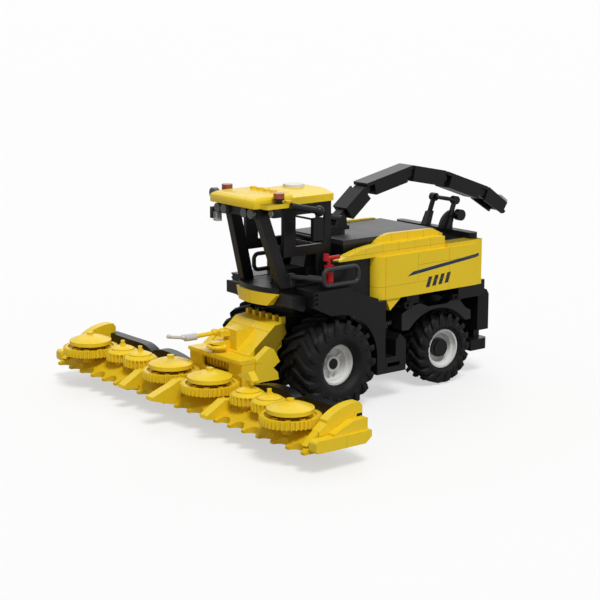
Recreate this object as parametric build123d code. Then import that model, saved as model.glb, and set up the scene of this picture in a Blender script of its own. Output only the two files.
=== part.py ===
from build123d import *
from math import atan2, cos, degrees, hypot, pi, radians, sin, sqrt
import os

# Toy forage harvester of building bricks, in millimetres
# +X is the machine's left side, -Y is forward, +Z is up
# The origin is on the ground under the middle of the machine

# Grid of the bricks
STUD = 8.0
PLATE = 3.2
STUD_R = 2.4
STUD_H = 1.7
BAR_R = 1.6
PIN_R = 2.4
FIT = 0.05
BORE_R = PIN_R + FIT
PLAY = 0.15

# Where the ground and the middle of the model lie in the outlines below
GROUND_Z = -3.3
MIDDLE_Y = -4.2

# Wheels
FRONT_AXLE_Y = -45.0
REAR_AXLE_Y = 69.3
RIM_R = 15.2
RIM_W = 20.0
LIP_T = 1.4
BOSS_R = 5.6
WEB_T = 3.0
FRONT_TYRE_R = 34.35
FRONT_TYRE_W = 34.0
FRONT_RIM_X = 38.0
REAR_TYRE_R = 28.0
REAR_TYRE_W = 26.0
REAR_RIM_X = 29.0
KINGPIN_X = 18.0
KNUCKLE_R = 4.4
HUB_DISC_R = 6.6
LUG_H = 2.7
LUG_W = 3.8
LUG_SWEEP = 5.3
LUGS = 18
TYRE_SIDES = 36
FRONT_AXLE_Z = GROUND_Z + FRONT_TYRE_R
REAR_AXLE_Z = GROUND_Z + REAR_TYRE_R

# Frame rails
RAIL_IN = 4.0
RAIL_OUT = 12.0
RAIL_Z0 = 46.0
RAIL_Z1 = RAIL_Z0 + 2 * STUD
RAIL_Y0 = -60.0
RAIL_Y1 = 108.0
FLOOR_T = 3.2
FLOOR_X = 14.0

# Body panels
PANEL_X = 48.0
PANEL_T = 5.0
PANEL_Y0 = 2.1
PANEL_Y1 = 101.0
PANEL_RISE = 7.9
PANEL_Z0 = GROUND_Z + 2 * FRONT_TYRE_R + PANEL_RISE
PANEL_H = 32.3
PANEL_Z1 = PANEL_Z0 + PANEL_H
WALL_X = 40.0
WALL_T = 4.0
WALL_Y0 = -41.4
COLUMN_Y = 8.9
DECK_Z = PANEL_Z1 + 12.8
DECK_T = 3.2
DECK_Y0 = -26.0
DECK_Y1 = 66.0
DECK_X = 32.0
RIDGE_X = 44.0
RIDGE_Y1 = 64.6
RIDGE_H = 8.5

# Wheel arches and steps
ARCH_X = 50.0
ARCH_GAP = 3.0
FOOT_Z = 17.6
STEP_L = 20.2
FENDER_X = 34.0
FENDER_W = 10.0
FENDER_GAP = 3.3
FENDER_PIN_R = 2.6
FENDER_PIN_X = 35.5
FENDER_PIN_Y0 = REAR_AXLE_Y - 30.8
FENDER_PIN_Y1 = REAR_AXLE_Y + 20.7
FENDER_PIN_Z = RAIL_Z1 + 0.2
SKIRT_H = 9.4

# Cab
CAB_X = 24.0
CAB_Y0 = -75.0
CAB_Y1 = -31.0
CAB_FLOOR_Z = PANEL_Z0 + 14.7
CAB_H = 60.0
ROOF_Z = CAB_FLOOR_Z + CAB_H
ROOF_Y0 = -103.2
ROOF_BREAK_Y = -68.0
ROOF_TOP = 8.4
CAB_WALL_T = 3.0
SILL_Z = CAB_FLOOR_Z + 29.0
BEACON_R = 4.0
LAMP_R = 3.4
TILE_R = 8.0
WORK_LIGHT_Y = -94.5

# Header
ROTOR_Y = -148.0
COMB_AHEAD = 12.0
BIG_X = 124.4
BIG_IN_X = 24.4
BIG_IN_Y = -141.4
SMALL_X = 91.2
SMALL_Y = -139.8
SMALL_IN_X = 67.2
GEAR_Z0 = 23.2
GEAR_H = 5.6
BIG_TEETH = 40
SMALL_TEETH = 24
BIG_DISH_R = 16.0
SMALL_DISH_R = 12.0
RECESS_R = 17.6
RECESS_D = 1.6
GROOVE_R = 8.6
CROWN_R = 14.6
CROWN_PEGS = 8
PEG_R = 1.9
HEADER_X = 154.0
COMB_X = 152.0
COMB_Y = ROTOR_Y - COMB_AHEAD
COMB_Z = 9.8
COMB_PITCH = 16.0
COMB_SLOPE = 14.0
PAN_Z = 20.0
DIVIDER_Y = -146.5
BEAM_Y0 = -116.0
BEAM_Y1 = -108.0
BEAM_Z1 = 30.0

# Feeder house and its lift pivot
LIFT_Y = -66.0
LIFT_Z = RAIL_Z0 + 6.0
LIFT_EAR_X = 14.0
LIFT_EAR_T = 4.0
EAR_R = 4.0
FEED_X = 32.0
FEED_Y0 = -119.0
FEED_Y1 = -103.0
FEED_Z1 = 41.8
HOOD_X = 20.0
HOOD_RUN = 24.0
HOOD_RISE = 19.0
ROLLER_Y = -110.0
ROLLER_Z = 33.5
ROLLER_R = 5.0

# Spout
SWING_Y = -12.0
SPOUT_X = 8.0
HINGE_Z = DECK_Z + 10.6
LUG_X = 4.1
LUG_R = 2.9
EAR_X0 = 4.3
EAR_X1 = 6.3
CAP_T = 2.7


def solid_of(face, amount, direction):
    return extrude(face, amount=amount, dir=direction)


def outline(plane, start, steps):
    """Closed face from a start point and steps: a point, or (middle, end) of an arc."""
    edges = []
    here = start
    for step in steps:
        if isinstance(step[0], tuple):
            edges.append(ThreePointArc(here, step[0], step[1]))
            here = step[1]
        else:
            edges.append(Line(here, step))
            here = step
    if here != start:
        edges.append(Line(here, start))
    return plane * make_face(edges)


def side(x, start, *steps):
    """Solid between two x places, with an outline of (y, z) points."""
    return solid_of(outline(Plane.YZ.offset(x[0]), start, steps), x[1] - x[0], (1, 0, 0))


def front(y, start, *steps):
    """Solid between two y places, with an outline of (x, z) points."""
    return solid_of(outline(Plane.XZ.offset(-y[0]), start, steps), y[1] - y[0], (0, 1, 0))


def plan(z, start, *steps):
    """Solid between two z places, with an outline of (x, y) points."""
    return solid_of(outline(Plane.XY.offset(z[0]), start, steps), z[1] - z[0], (0, 0, 1))


def block(x, y, z):
    middle = Pos((x[0] + x[1]) / 2, (y[0] + y[1]) / 2, (z[0] + z[1]) / 2)
    return middle * Box(x[1] - x[0], y[1] - y[0], z[1] - z[0])


def rod(axis, at, radius, span):
    """Cylinder along x, y or z; at gives the other two places of its axis."""
    middle = (span[0] + span[1]) / 2
    length = span[1] - span[0]
    if axis == "x":
        return Pos(middle, at[0], at[1]) * Rot(0, 90, 0) * Cylinder(radius, length)
    if axis == "y":
        return Pos(at[0], middle, at[1]) * Rot(90, 0, 0) * Cylinder(radius, length)
    return Pos(at[0], at[1], middle) * Cylinder(radius, length)


def bar_between(a, b, radius):
    """Round bar from point a to point b."""
    direction = Vector(*b) - Vector(*a)
    return extrude(Plane(origin=a, z_dir=direction) * Circle(radius), amount=direction.length)


def post_between(low, high):
    """Straight-sided post between two level rectangles, each (x range, y range, z)."""
    faces = []
    for x, y, z in (low, high):
        middle = Pos((x[0] + x[1]) / 2, (y[0] + y[1]) / 2)
        faces.append(Plane.XY.offset(z) * middle * Rectangle(x[1] - x[0], y[1] - y[0]))
    return loft(faces, ruled=True)


def both_sides(shape):
    """The shape and its mirror image on the machine's other side."""
    return Compound([shape, mirror(shape, about=Plane.YZ)])


def turned(profile_points, axis):
    """Solid of revolution about the axis from (x, r) points in the XZ plane."""
    face = make_face(Polyline(*[(x, 0, r) for x, r in profile_points], close=True))
    return revolve(face, axis=axis)


def wheel_rim(front_wheel):
    """Rim about the X axis, its outer face at +X."""
    half = RIM_W / 2
    web = WEB_T / 2
    boss = half - 4.0 if front_wheel else web + 2.5
    lip = RIM_R - LIP_T
    points = [(-half, RIM_R), (half, RIM_R), (half, lip), (half - 3.5, lip - 0.6), (half - 3.5, lip - 2.2),
              (web, lip - 3.0), (web, BOSS_R), (boss, BOSS_R), (boss, BORE_R), (-5.0, BORE_R), (-5.0, BOSS_R - 1.2),
              (-web, BOSS_R - 1.2), (-web, lip - 3.0), (-half + 1.2, lip - 0.6), (-half, lip)]
    rim = turned(points, Axis.X)
    if front_wheel:
        rim -= rod("x", (0, 0), BOSS_R - 1.6, (web + 1.0, boss + 1.0))
        for k in range(3):
            rib = radians(30 + 120 * k)
            hole = radians(90 + 120 * k)
            spoke = block((0, web + 2.0), (BOSS_R - 0.8, lip - 2.6), (-1.1, 1.1))
            rim += Rot(degrees(rib), 0, 0) * spoke
            rim -= rod("x", (8.4 * cos(hole), 8.4 * sin(hole)), 1.2, (-web - 0.5, web + 0.5))
    return rim


def sided_shell(stations):
    """Straight-sided ring solid about the X axis through (x, radius) stations."""
    sections = [Plane.YZ.offset(x) * RegularPolygon(r, TYRE_SIDES, major_radius=False) for x, r in stations]
    return loft(sections, ruled=True)


def wheel_tyre(radius, width):
    """Tyre about the X axis: a rounded carcass with two rows of slanted lugs."""
    half = width / 2
    crown = radius - LUG_H
    bead = RIM_R + PLAY
    flat = half * 0.55
    tyre = sided_shell([(-half, bead + 7.0), (-half + 3.0, crown - 3.4), (-flat, crown), (flat, crown),
                        (half - 3.0, crown - 3.4), (half, bead + 7.0)])
    tyre -= sided_shell([(-half - 1.0, bead + 4.4), (-half + 3.2, bead), (half - 3.2, bead), (half + 1.0, bead + 4.4)])
    top = sqrt(radius ** 2 - LUG_SWEEP ** 2)
    tip = half - 1.0
    slope = (top - crown) + 2.0
    plan_face = Plane.XY.offset(crown - 9.0) * make_face(Polyline(
        (0.4, LUG_SWEEP), (0.4, LUG_SWEEP - LUG_W), (tip, -LUG_SWEEP), (tip, LUG_W - LUG_SWEEP), close=True))
    lug = extrude(plan_face, amount=radius - crown + 12.0)
    lug &= front((-STUD, STUD), (0.4, crown - 1.5), (0.4, top), (flat, top), (tip - 3.0, top - slope),
                 (tip, top - slope - 2.6), (tip, crown - 8.5), (flat, crown - 1.5))
    first = degrees(atan2(LUG_SWEEP, top))
    pitch = 360 / LUGS
    other = mirror(lug, about=Plane.YZ)
    rows = [Rot(first + pitch * k, 0, 0) * lug for k in range(LUGS)]
    rows += [Rot(first + pitch * (k + 0.5), 0, 0) * other for k in range(LUGS)]
    return tyre.fuse(*rows)


def wheels():
    """Rims and tyres of the four wheels, at their axles."""
    nodes = {}
    # name, axle y, axle z, tyre radius, tyre width, middle of the rim
    table = [("front", FRONT_AXLE_Y, FRONT_AXLE_Z, FRONT_TYRE_R, FRONT_TYRE_W, FRONT_RIM_X),
             ("rear", REAR_AXLE_Y, REAR_AXLE_Z, REAR_TYRE_R, REAR_TYRE_W, REAR_RIM_X)]
    for name, y, z, radius, width, x in table:
        rim = Pos(x, y, z) * wheel_rim(name == "front")
        tyre = Pos(x, y, z) * wheel_tyre(radius, width)
        nodes[f"rim_{name}_left"] = rim
        nodes[f"rim_{name}_right"] = mirror(rim, about=Plane.YZ)
        nodes[f"tyre_{name}_left"] = tyre
        nodes[f"tyre_{name}_right"] = mirror(tyre, about=Plane.YZ)
    return nodes


def axles():
    """Front axle beam, rear axle beam with kingpins, and the two knuckles."""
    beam_x = FRONT_RIM_X - FRONT_TYRE_W / 2 - 1.0
    y = FRONT_AXLE_Y
    z = FRONT_AXLE_Z
    disc = FRONT_RIM_X + RIM_W / 2 - 4.0
    front_axle = block((-beam_x, beam_x), (y - STUD, y + STUD), (z - 6.4, z + 6.4))
    front_axle += block((-RAIL_OUT, RAIL_OUT), (y - 4.0, y + 12.0), (z, RAIL_Z0))
    front_axle += rod("x", (y, z), PIN_R, (-disc, disc))
    for s in (-1, 1):
        cap = sorted((s * (FRONT_RIM_X + WEB_T / 2 + 1.0 + PLAY), s * (disc + 0.6)))
        front_axle += rod("x", (y, z), BOSS_R - 1.8, cap)
    y = REAR_AXLE_Y
    z = REAR_AXLE_Z
    ear = 5.0
    sleeve = 5.0
    rear_axle = block((4.8 - KINGPIN_X, KINGPIN_X - 4.8), (y - STUD, y + STUD), (z - STUD, z + STUD))
    rear_axle += block((-RAIL_OUT, RAIL_OUT), (y - STUD, y + STUD), (z, RAIL_Z0))
    hub = REAR_RIM_X + WEB_T / 2 + 2.5 + PLAY
    rim_face = REAR_RIM_X + RIM_W / 2
    knuckle = rod("z", (KINGPIN_X, y), KNUCKLE_R, (z - sleeve, z + sleeve))
    knuckle += rod("x", (y, z), PIN_R, (KINGPIN_X, hub + 1.0))
    knuckle += rod("x", (y, z), HUB_DISC_R, (hub, rim_face - 2.0))
    knuckle += rod("x", (y, z), KNUCKLE_R - 0.4, (KINGPIN_X, REAR_RIM_X - 5.0 - PLAY))
    knuckle -= rod("z", (KINGPIN_X, y), BORE_R, (z - sleeve - 1.0, z + sleeve + 1.0))
    for s in (-1, 1):
        for low, high in ((z + sleeve + PLAY, z + STUD), (z - STUD, z - sleeve - PLAY)):
            ears = sorted((s * (KINGPIN_X - 5.0), s * KINGPIN_X))
            rear_axle += block(ears, (y - ear, y + ear), (low, high))
            rear_axle += rod("z", (s * KINGPIN_X, y), ear, (low, high))
        rear_axle += rod("z", (s * KINGPIN_X, y), PIN_R, (z - STUD, z + STUD))
    return {"front_axle": front_axle, "rear_axle": rear_axle, "knuckle_left": knuckle,
            "knuckle_right": mirror(knuckle, about=Plane.YZ)}


def chassis():
    """Two beams with round holes, joined by cross members, the floor plate and the lift pin."""
    z_mid = (RAIL_Z0 + RAIL_Z1) / 2
    rail = block((RAIL_IN, RAIL_OUT), (RAIL_Y0, RAIL_Y1), (RAIL_Z0, RAIL_Z1))
    holes = int((RAIL_Y1 - RAIL_Y0) / (2 * STUD))
    for k in range(holes):
        rail -= rod("x", (RAIL_Y0 + STUD + 2 * STUD * k, z_mid), PIN_R, (RAIL_IN - 1, RAIL_OUT + 1))
    frame = rail + mirror(rail, about=Plane.YZ)
    for y in (RAIL_Y0, -20.0, 28.0, RAIL_Y1 - STUD):
        frame += block((-RAIL_IN, RAIL_IN), (y, y + STUD), (RAIL_Z0, RAIL_Z1))
    frame += block((-FLOOR_X, FLOOR_X), (RAIL_Y0, RAIL_Y1), (RAIL_Z1, RAIL_Z1 + FLOOR_T))
    slant = EAR_R * sin(radians(45))
    for s in (-1, 1):
        ear_x = sorted((s * LIFT_EAR_X, s * (LIFT_EAR_X + LIFT_EAR_T)))
        frame += side(ear_x, (LIFT_Y - EAR_R, LIFT_Z), (LIFT_Y - EAR_R, RAIL_Z1 + FLOOR_T),
                      (RAIL_Y0 + STUD, RAIL_Z1 + FLOOR_T), (RAIL_Y0 + STUD, LIFT_Z - EAR_R), (LIFT_Y, LIFT_Z - EAR_R),
                      ((LIFT_Y - slant, LIFT_Z - slant), (LIFT_Y - EAR_R, LIFT_Z)))
        frame += block(sorted((s * (FLOOR_X - 1.0), s * (LIFT_EAR_X + LIFT_EAR_T))), (RAIL_Y0, RAIL_Y0 + STUD),
                       (RAIL_Z1, RAIL_Z1 + FLOOR_T))
    frame += rod("x", (LIFT_Y, LIFT_Z), PIN_R, (-LIFT_EAR_X - LIFT_EAR_T, LIFT_EAR_X + LIFT_EAR_T))
    return {"chassis_frame": frame}


def body_panels():
    """Yellow side panels, black walls, hood ridges, deck, core, rear wall and rear block."""
    inner = PANEL_X - PANEL_T
    panel_main = PANEL_Y1 - 6.4
    column_y = PANEL_Y0 - COLUMN_Y
    panel = plan((PANEL_Z0, PANEL_Z1), (PANEL_X, PANEL_Y0), (PANEL_X, panel_main), (PANEL_X - 0.8, panel_main),
                 (PANEL_X - 0.8, PANEL_Y1), (inner, PANEL_Y1), (inner, PANEL_Y0 + 2.0),
                 (WALL_X - WALL_T, PANEL_Y0 - 6.0), (WALL_X - WALL_T, column_y), (WALL_X, column_y),
                 ((WALL_X + 5.8, PANEL_Y0 - 5.6), (PANEL_X - 0.6, PANEL_Y0)))
    gusset = side((inner, PANEL_X - 1.0), (PANEL_Y0 + 1.0, PANEL_Z0), (PANEL_Y0 + 16.0, PANEL_Z0),
                  (PANEL_Y0 + 5.0, PANEL_Z0 - 9.0))
    wall = block((WALL_X - WALL_T, WALL_X), (WALL_Y0, column_y - PLAY), (PANEL_Z0, PANEL_Z1))
    wall += block((DECK_X, WALL_X - WALL_T), (WALL_Y0, WALL_Y0 + WALL_T), (PANEL_Z0, PANEL_Z1))
    ridge = side((WALL_X - WALL_T, RIDGE_X), (WALL_Y0 + 2.1, PANEL_Z1 + 0.6), (WALL_Y0 + 2.1, PANEL_Z1),
                 (RIDGE_Y1, PANEL_Z1), (RIDGE_Y1, PANEL_Z1 + RIDGE_H), (PANEL_Y0 + 9.0, PANEL_Z1 + RIDGE_H),
                 ((PANEL_Y0 - 17.2, PANEL_Z1 + 7.2), (WALL_Y0 + 2.1, PANEL_Z1 + 0.6)))
    crest = side((DECK_X, WALL_X - WALL_T), (-19.2, PANEL_Z1), (RIDGE_Y1 + 3.0, PANEL_Z1),
                 (RIDGE_Y1 + 5.0, PANEL_Z1 + 9.1), (RIDGE_Y1 - 5.1, PANEL_Z1 + 13.7), (19.1, PANEL_Z1 + 14.5),
                 ((9.1, PANEL_Z1 + 12.9), (1.0, PANEL_Z1 + 7.7)), ((-9.1, PANEL_Z1 + 4.6), (-19.2, PANEL_Z1 + 1.0)))
    top = block((WALL_X - WALL_T, PANEL_X - 0.8), (RIDGE_Y1, PANEL_Y1), (PANEL_Z1, PANEL_Z1 + PLATE))
    core_x = DECK_X - PLAY
    deck = block((-core_x, core_x), (DECK_Y0, DECK_Y1), (DECK_Z - DECK_T, DECK_Z))
    core = block((-core_x, core_x), (DECK_Y0, DECK_Y1), (PANEL_Z0, DECK_Z - DECK_T))
    core += block((-FLOOR_X, FLOOR_X), (DECK_Y0, DECK_Y1), (RAIL_Z1 + FLOOR_T, PANEL_Z0))
    bracket = block((core_x - 6.0, core_x), (FENDER_PIN_Y0 - 1.0, REAR_AXLE_Y - 19.3), (FENDER_PIN_Z, PANEL_Z0))
    bracket += rod("x", (FENDER_PIN_Y0, FENDER_PIN_Z), FENDER_PIN_R, (FLOOR_X, FENDER_PIN_X))
    core += bracket + mirror(bracket, about=Plane.YZ)
    rear_x = inner - PLAY
    rear = block((-rear_x, rear_x), (PANEL_Y1 - STUD, PANEL_Y1), (PANEL_Z0, PANEL_Z1))
    lid_x = WALL_X - WALL_T - PLAY
    crest_y1 = RIDGE_Y1 + 5.0 + PLAY
    lid = block((-lid_x, lid_x), (crest_y1, PANEL_Y1), (PANEL_Z1, PANEL_Z1 + PLATE))
    lid += block((-core_x, core_x), (DECK_Y1 + PLAY, crest_y1), (PANEL_Z1, PANEL_Z1 + PLATE))
    return {"side_panels": both_sides(panel + gusset), "side_walls": both_sides(wall),
            "hood_ridges": both_sides(ridge + crest + top), "body_core": core, "top_deck": deck,
            "rear_wall": rear + lid, "rear_block": rear_block()}


def rear_block():
    """Black tail under the rear wall: skirt, stepped block and bumper."""
    low = RAIL_Z1 + FLOOR_T + PLAY
    tail_y = PANEL_Y1 + 24.0
    tail = block((-PANEL_X + 0.8, PANEL_X - 0.8), (PANEL_Y1 - 24.0, PANEL_Y1), (PANEL_Z0 - SKIRT_H, PANEL_Z0))
    pin = rod("x", (FENDER_PIN_Y1, FENDER_PIN_Z), FENDER_PIN_R, (FLOOR_X, FENDER_PIN_X))
    tail += pin + mirror(pin, about=Plane.YZ)
    tail += block((-WALL_X + 4.0, WALL_X - 4.0), (PANEL_Y1, PANEL_Y1 + 15.0), (low - 3.2, PANEL_Z0))
    upright = side((DECK_X - STUD, DECK_X), (PANEL_Y1 + 12.0, 31.5), (tail_y, 31.5), (tail_y, low - 5.5),
                   (tail_y - 2.4, low - 1.6), (PANEL_Y1 + 12.0, low + 2.0))
    tail += upright + mirror(upright, about=Plane.YZ)
    tail += block((-DECK_X + STUD, DECK_X - STUD), (PANEL_Y1 + 13.0, tail_y - 3.2), (31.5, low + 1.0))
    bumper = plan((15.7, 24.4), (-DECK_X, PANEL_Y1 + 5.0), (DECK_X, PANEL_Y1 + 5.0), (DECK_X, tail_y - 3.0),
                  (DECK_X - 3.0, tail_y + 0.5), (-DECK_X + 3.0, tail_y + 0.5), (-DECK_X, tail_y - 3.0))
    neck_x = DECK_X - STUD + 2.0
    tail += bumper + block((-neck_x, neck_x), (PANEL_Y1 + 14.0, PANEL_Y1 + 20.0), (24.0, 32.5))
    return tail - block((-FLOOR_X - PLAY, FLOOR_X + PLAY), (PANEL_Y1 - 25.0, RAIL_Y1 + PLAY), (RAIL_Z0, low))


def fenders():
    """Front wheel arches, side steps and rear wheel fenders."""
    arch_r = FRONT_TYRE_R + ARCH_GAP
    y = FRONT_AXLE_Y
    z = FRONT_AXLE_Z
    diagonal = arch_r * sin(radians(45))
    back = y + arch_r + STUD
    top = CAB_FLOOR_Z - 0.4
    arch = side((WALL_X + PLAY, ARCH_X), (y + arch_r, FOOT_Z), (back, FOOT_Z), (back, PANEL_Z0 - PLAY),
                (y + 26.7, PANEL_Z0 + 6.1), (y + 13.2, PANEL_Z0 + 11.2), (y + 13.2, top), (y - 22.7, top),
                (y - 22.7, PANEL_Z0 + 2.7), (y - 6.4, z + arch_r), (y, z + arch_r),
                ((y + diagonal, z + diagonal), (y + arch_r, z)))
    arch -= block((WALL_X, ARCH_X + 1), (PANEL_Y0 - COLUMN_Y - PLAY, back + 1), (PANEL_Z0 - PLAY, top + 1))
    shelf = block((CAB_X + 4.0 + PLAY, WALL_X + 1.0), (y - 22.7, WALL_Y0 - PLAY), (PANEL_Z0 + 2.7, top))
    for k in range(3):
        groove_z = PANEL_Z0 + 5.0 + PLATE * k
        arch -= block((ARCH_X - 1.2, ARCH_X + 1), (y - 23.0, y - 19.5), (groove_z, groove_z + 1.6))
    step_y0 = back + PLAY
    step_y1 = step_y0 + STEP_L
    step_x0 = ARCH_X - 14.0
    step = side((step_x0, ARCH_X), (step_y0, FOOT_Z), (step_y1, FOOT_Z), (step_y1, FOOT_Z + 23.0),
                (step_y1 - 6.1, FOOT_Z + 29.0), (step_y1 - 10.1, FOOT_Z + 23.9), (step_y1 - 10.1, FOOT_Z + 12.1),
                (step_y0, FOOT_Z + 12.1))
    step -= block((step_x0 + 4.0, ARCH_X + 1), (step_y0 + 2.0, step_y1 - 6.0), (FOOT_Z + 4.6, FOOT_Z + 7.6))
    step += block((step_x0 - 4.0, step_x0), (step_y0, step_y0 + STUD), (FOOT_Z, RAIL_Z0 + 6.0))
    step += block((RAIL_OUT, step_x0), (step_y0, step_y0 + STUD), (RAIL_Z0, RAIL_Z0 + 6.0))
    return {"front_fenders": both_sides(arch + shelf), "side_steps": both_sides(step),
            "rear_fenders": both_sides(rear_fender())}


def rear_fender():
    """Curved fender over a rear wheel, wide enough for its steering."""
    y = REAR_AXLE_Y
    z = REAR_AXLE_Z
    top = z + REAR_TYRE_R + FENDER_GAP
    foot = z + 18.1
    brow = top + 2.6
    x = (FENDER_X - FENDER_W, FENDER_X)
    shape = side(x, (y - 31.3, foot), (y - 38.6, foot + 0.6), (y - 38.6, foot + 13.7), (y - 27.2, brow + 2.6),
                 (y - 21.3, brow + 3.4), (y - 19.3, brow + 3.4), (y - 11.3, brow), (y + 8.7, brow),
                 (y + 14.7, brow + 3.4), (y + 19.7, brow + 3.4), (y + 28.5, foot + 9.7), (y + 34.0, foot + 7.1),
                 (y + 34.0, foot), (y + 28.2, foot), ((y - 1.3, top), (y - 31.3, foot)))
    shape += block((x[0] + 1.0, x[1] - 3.0), (y + 14.7, y + 17.5), (brow + 3.0, PANEL_Z0 - SKIRT_H - PLAY))
    for at in (FENDER_PIN_Y0, FENDER_PIN_Y1):
        shape -= rod("x", (at, FENDER_PIN_Z), FENDER_PIN_R + PLAY, (x[0] - 1.0, x[1] + 1.0))
    shape -= block((x[0] - 1.0, x[1] + 1.0), (FENDER_PIN_Y0 - 1.0 - PLAY, y - 19.3), (FENDER_PIN_Z - PLAY, PANEL_Z0))
    return shape


def cab():
    """Cab base, bumper, pillars, walls with windows, roof, lamps and seat."""
    floor = CAB_FLOOR_Z
    slab_x = CAB_X + 4.0
    slab_y0 = CAB_Y0 - 4.0
    rear = DECK_Y0 - PLAY
    base = block((-FLOOR_X - 2.0, FLOOR_X + 2.0), (RAIL_Y0, rear), (RAIL_Z1 + FLOOR_T + PLAY, floor - 12.8))
    base += block((-slab_x, slab_x), (slab_y0, rear), (floor - 12.8, floor - 6.4))
    base += block((-CAB_X, CAB_X), (CAB_Y0, rear), (floor - 6.4, floor))
    base += plan((floor - 3.9, floor), (-CAB_X, CAB_Y0 + 1), (CAB_X, CAB_Y0 + 1), (CAB_X, CAB_Y0 - 5.0),
                 ((0, CAB_Y0 - 11.0), (-CAB_X, CAB_Y0 - 5.0)))
    box = side((CAB_X, WALL_X), (slab_y0 - 0.5, floor - 12.0), (-70.0, floor - 15.6), (-67.9, floor - 14.0),
               (-67.9, floor - 5.0), (slab_y0 - 0.5, floor - 3.0))
    base += box + mirror(box, about=Plane.YZ)
    nose = plan((floor - 12.8, floor - 4.0), (-CAB_X, slab_y0 - PLAY), (CAB_X, slab_y0 - PLAY), (CAB_X, CAB_Y0 - 7.0),
                ((0, CAB_Y0 - 13.0), (-CAB_X, CAB_Y0 - 7.0)))
    nose &= front((CAB_Y0 - 14.0, CAB_Y0), (-CAB_X, floor - 4.0), (CAB_X, floor - 4.0), (CAB_X, floor - 5.0),
                  (CAB_X - 7.0, floor - 12.8), (7.0 - CAB_X, floor - 12.8), (-CAB_X, floor - 5.0))
    pillar = post_between(((19.0, 25.5), (-78.6, -69.5), floor), ((13.9, 20.4), (-94.0, -84.9), ROOF_Z - 8.0))
    pillar += block((13.0, CAB_X), (-99.0, -88.0), (ROOF_Z - 8.0, ROOF_Z))
    pillars = pillar + mirror(pillar, about=Plane.YZ) + block((-CAB_X, CAB_X), (-99.0, -94.0), (ROOF_Z - 7.0, ROOF_Z))
    return {"cab_base": base, "cab_bumper": nose, "cab_pillars": pillars, "cab_wall": cab_wall(),
            **cab_roof(), **cab_inside()}


def cab_wall():
    """Rear and side walls of the cab as one shell, open in front, with windows and doors."""
    t = CAB_WALL_T
    floor = CAB_FLOOR_Z
    front_y = CAB_Y0
    wall = block((-CAB_X, CAB_X), (front_y, CAB_Y1), (floor, ROOF_Z))
    wall -= block((-CAB_X + t, CAB_X - t), (front_y - 1, CAB_Y1 - t), (floor - 1, ROOF_Z + 1))
    window = (SILL_Z, ROOF_Z - 8.0)
    wall -= side((-CAB_X - 1, CAB_X + 1), (front_y + 11.0, SILL_Z), (CAB_Y1 - 7.0, SILL_Z),
                 (CAB_Y1 - 5.0, window[1]), (front_y + 11.0, window[1]))
    wall -= block((-CAB_X - 1, CAB_X + 1), (front_y - 1, CAB_Y1 - 12.0), (floor - 1, floor + 22.0))
    wall -= block((-CAB_X + 5.0, CAB_X - 5.0), (CAB_Y1 - t - 1, CAB_Y1 + 1), (SILL_Z - 3.0, window[1]))
    wall += rod("x", (CAB_Y1 - t / 2, SILL_Z + 0.5), 1.3, (-CAB_X + 4.0, CAB_X - 4.0))
    wall += rod("x", (CAB_Y1 - t / 2, (SILL_Z + window[1]) / 2 + 3.0), 0.8, (-CAB_X + 4.0, CAB_X - 4.0))
    return wall


def cab_roof():
    """Roof in two parts with its studs and arms, lamps, beacons, round tile and mirrors."""
    z = ROOF_Z
    eave = z + 3.8
    top = z + ROOF_TOP
    roof = block((-CAB_X, CAB_X), (ROOF_Y0, ROOF_BREAK_Y), (z, eave))
    roof += post_between(((-CAB_X, CAB_X), (ROOF_Y0, ROOF_BREAK_Y), eave),
                         ((-CAB_X + 6.5, CAB_X - 6.5), (ROOF_Y0 + 14.0, ROOF_BREAK_Y), top))
    crown = side((-CAB_X - 2.0, CAB_X + 2.0), (ROOF_BREAK_Y - 4.0, z), (CAB_Y1 + 0.5, z), (CAB_Y1 + 0.5, top - 0.2),
                 ((-50.0, top + 1.4), (ROOF_BREAK_Y - 4.0, top)))
    crown &= front((ROOF_BREAK_Y - 5.0, CAB_Y1 + 2.0), (-CAB_X - 2.0, z), (CAB_X + 2.0, z), (CAB_X + 2.0, eave + 1.4),
                   ((0, top + 0.6), (-CAB_X - 2.0, eave + 1.4)))
    roof += crown
    for k in range(4):
        x = (k - 1.5) * STUD
        roof += rod("z", (x, ROOF_BREAK_Y - 7.0), STUD_R, (top - 1.0, top + STUD_H))
    arm_x = (CAB_X, CAB_X + 11.0)
    arm = block(arm_x, (WORK_LIGHT_Y, -73.5), (z, z + PLATE))
    arm += rod("z", (arm_x[1] - 3.4, -77.0), STUD_R, (z + PLATE, z + PLATE + STUD_H))
    roof += arm + mirror(arm, about=Plane.YZ) + block(arm_x, (WORK_LIGHT_Y - 3.5, WORK_LIGHT_Y), (z, z + PLATE))
    tile_y = -47.0
    tile = rod("z", (0, tile_y), TILE_R, (top - 0.4, top + 2.6))
    roof -= rod("z", (0, tile_y), TILE_R + PLAY, (top - 0.4, top + 4.0))
    lamps = None
    for x in (CAB_X - 4.0, CAB_X - 12.0, 4.0 - CAB_X, 12.0 - CAB_X):
        lamp = rod("y", (x, z - 4.0), LAMP_R, (ROOF_Y0 + 1.0, -99.0))
        lamps = lamp if lamps is None else lamps + lamp
    lamps += rod("y", (-CAB_X - 6.5, z + 5.1), BEACON_R, (WORK_LIGHT_Y - 4.0, WORK_LIGHT_Y))
    beacon = rod("z", (CAB_X + 7.0, -84.7), BEACON_R - 1.4, (z + PLATE, z + PLATE + 3.0))
    beacon += rod("z", (CAB_X + 7.0, -84.7), BEACON_R, (z + PLATE + 2.6, z + PLATE + 7.4))
    return {"cab_roof": roof, "roof_tile": tile, "roof_lamps": lamps, "beacons": both_sides(beacon),
            "mirrors": both_sides(side_mirror(arm_x[1]))}


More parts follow.
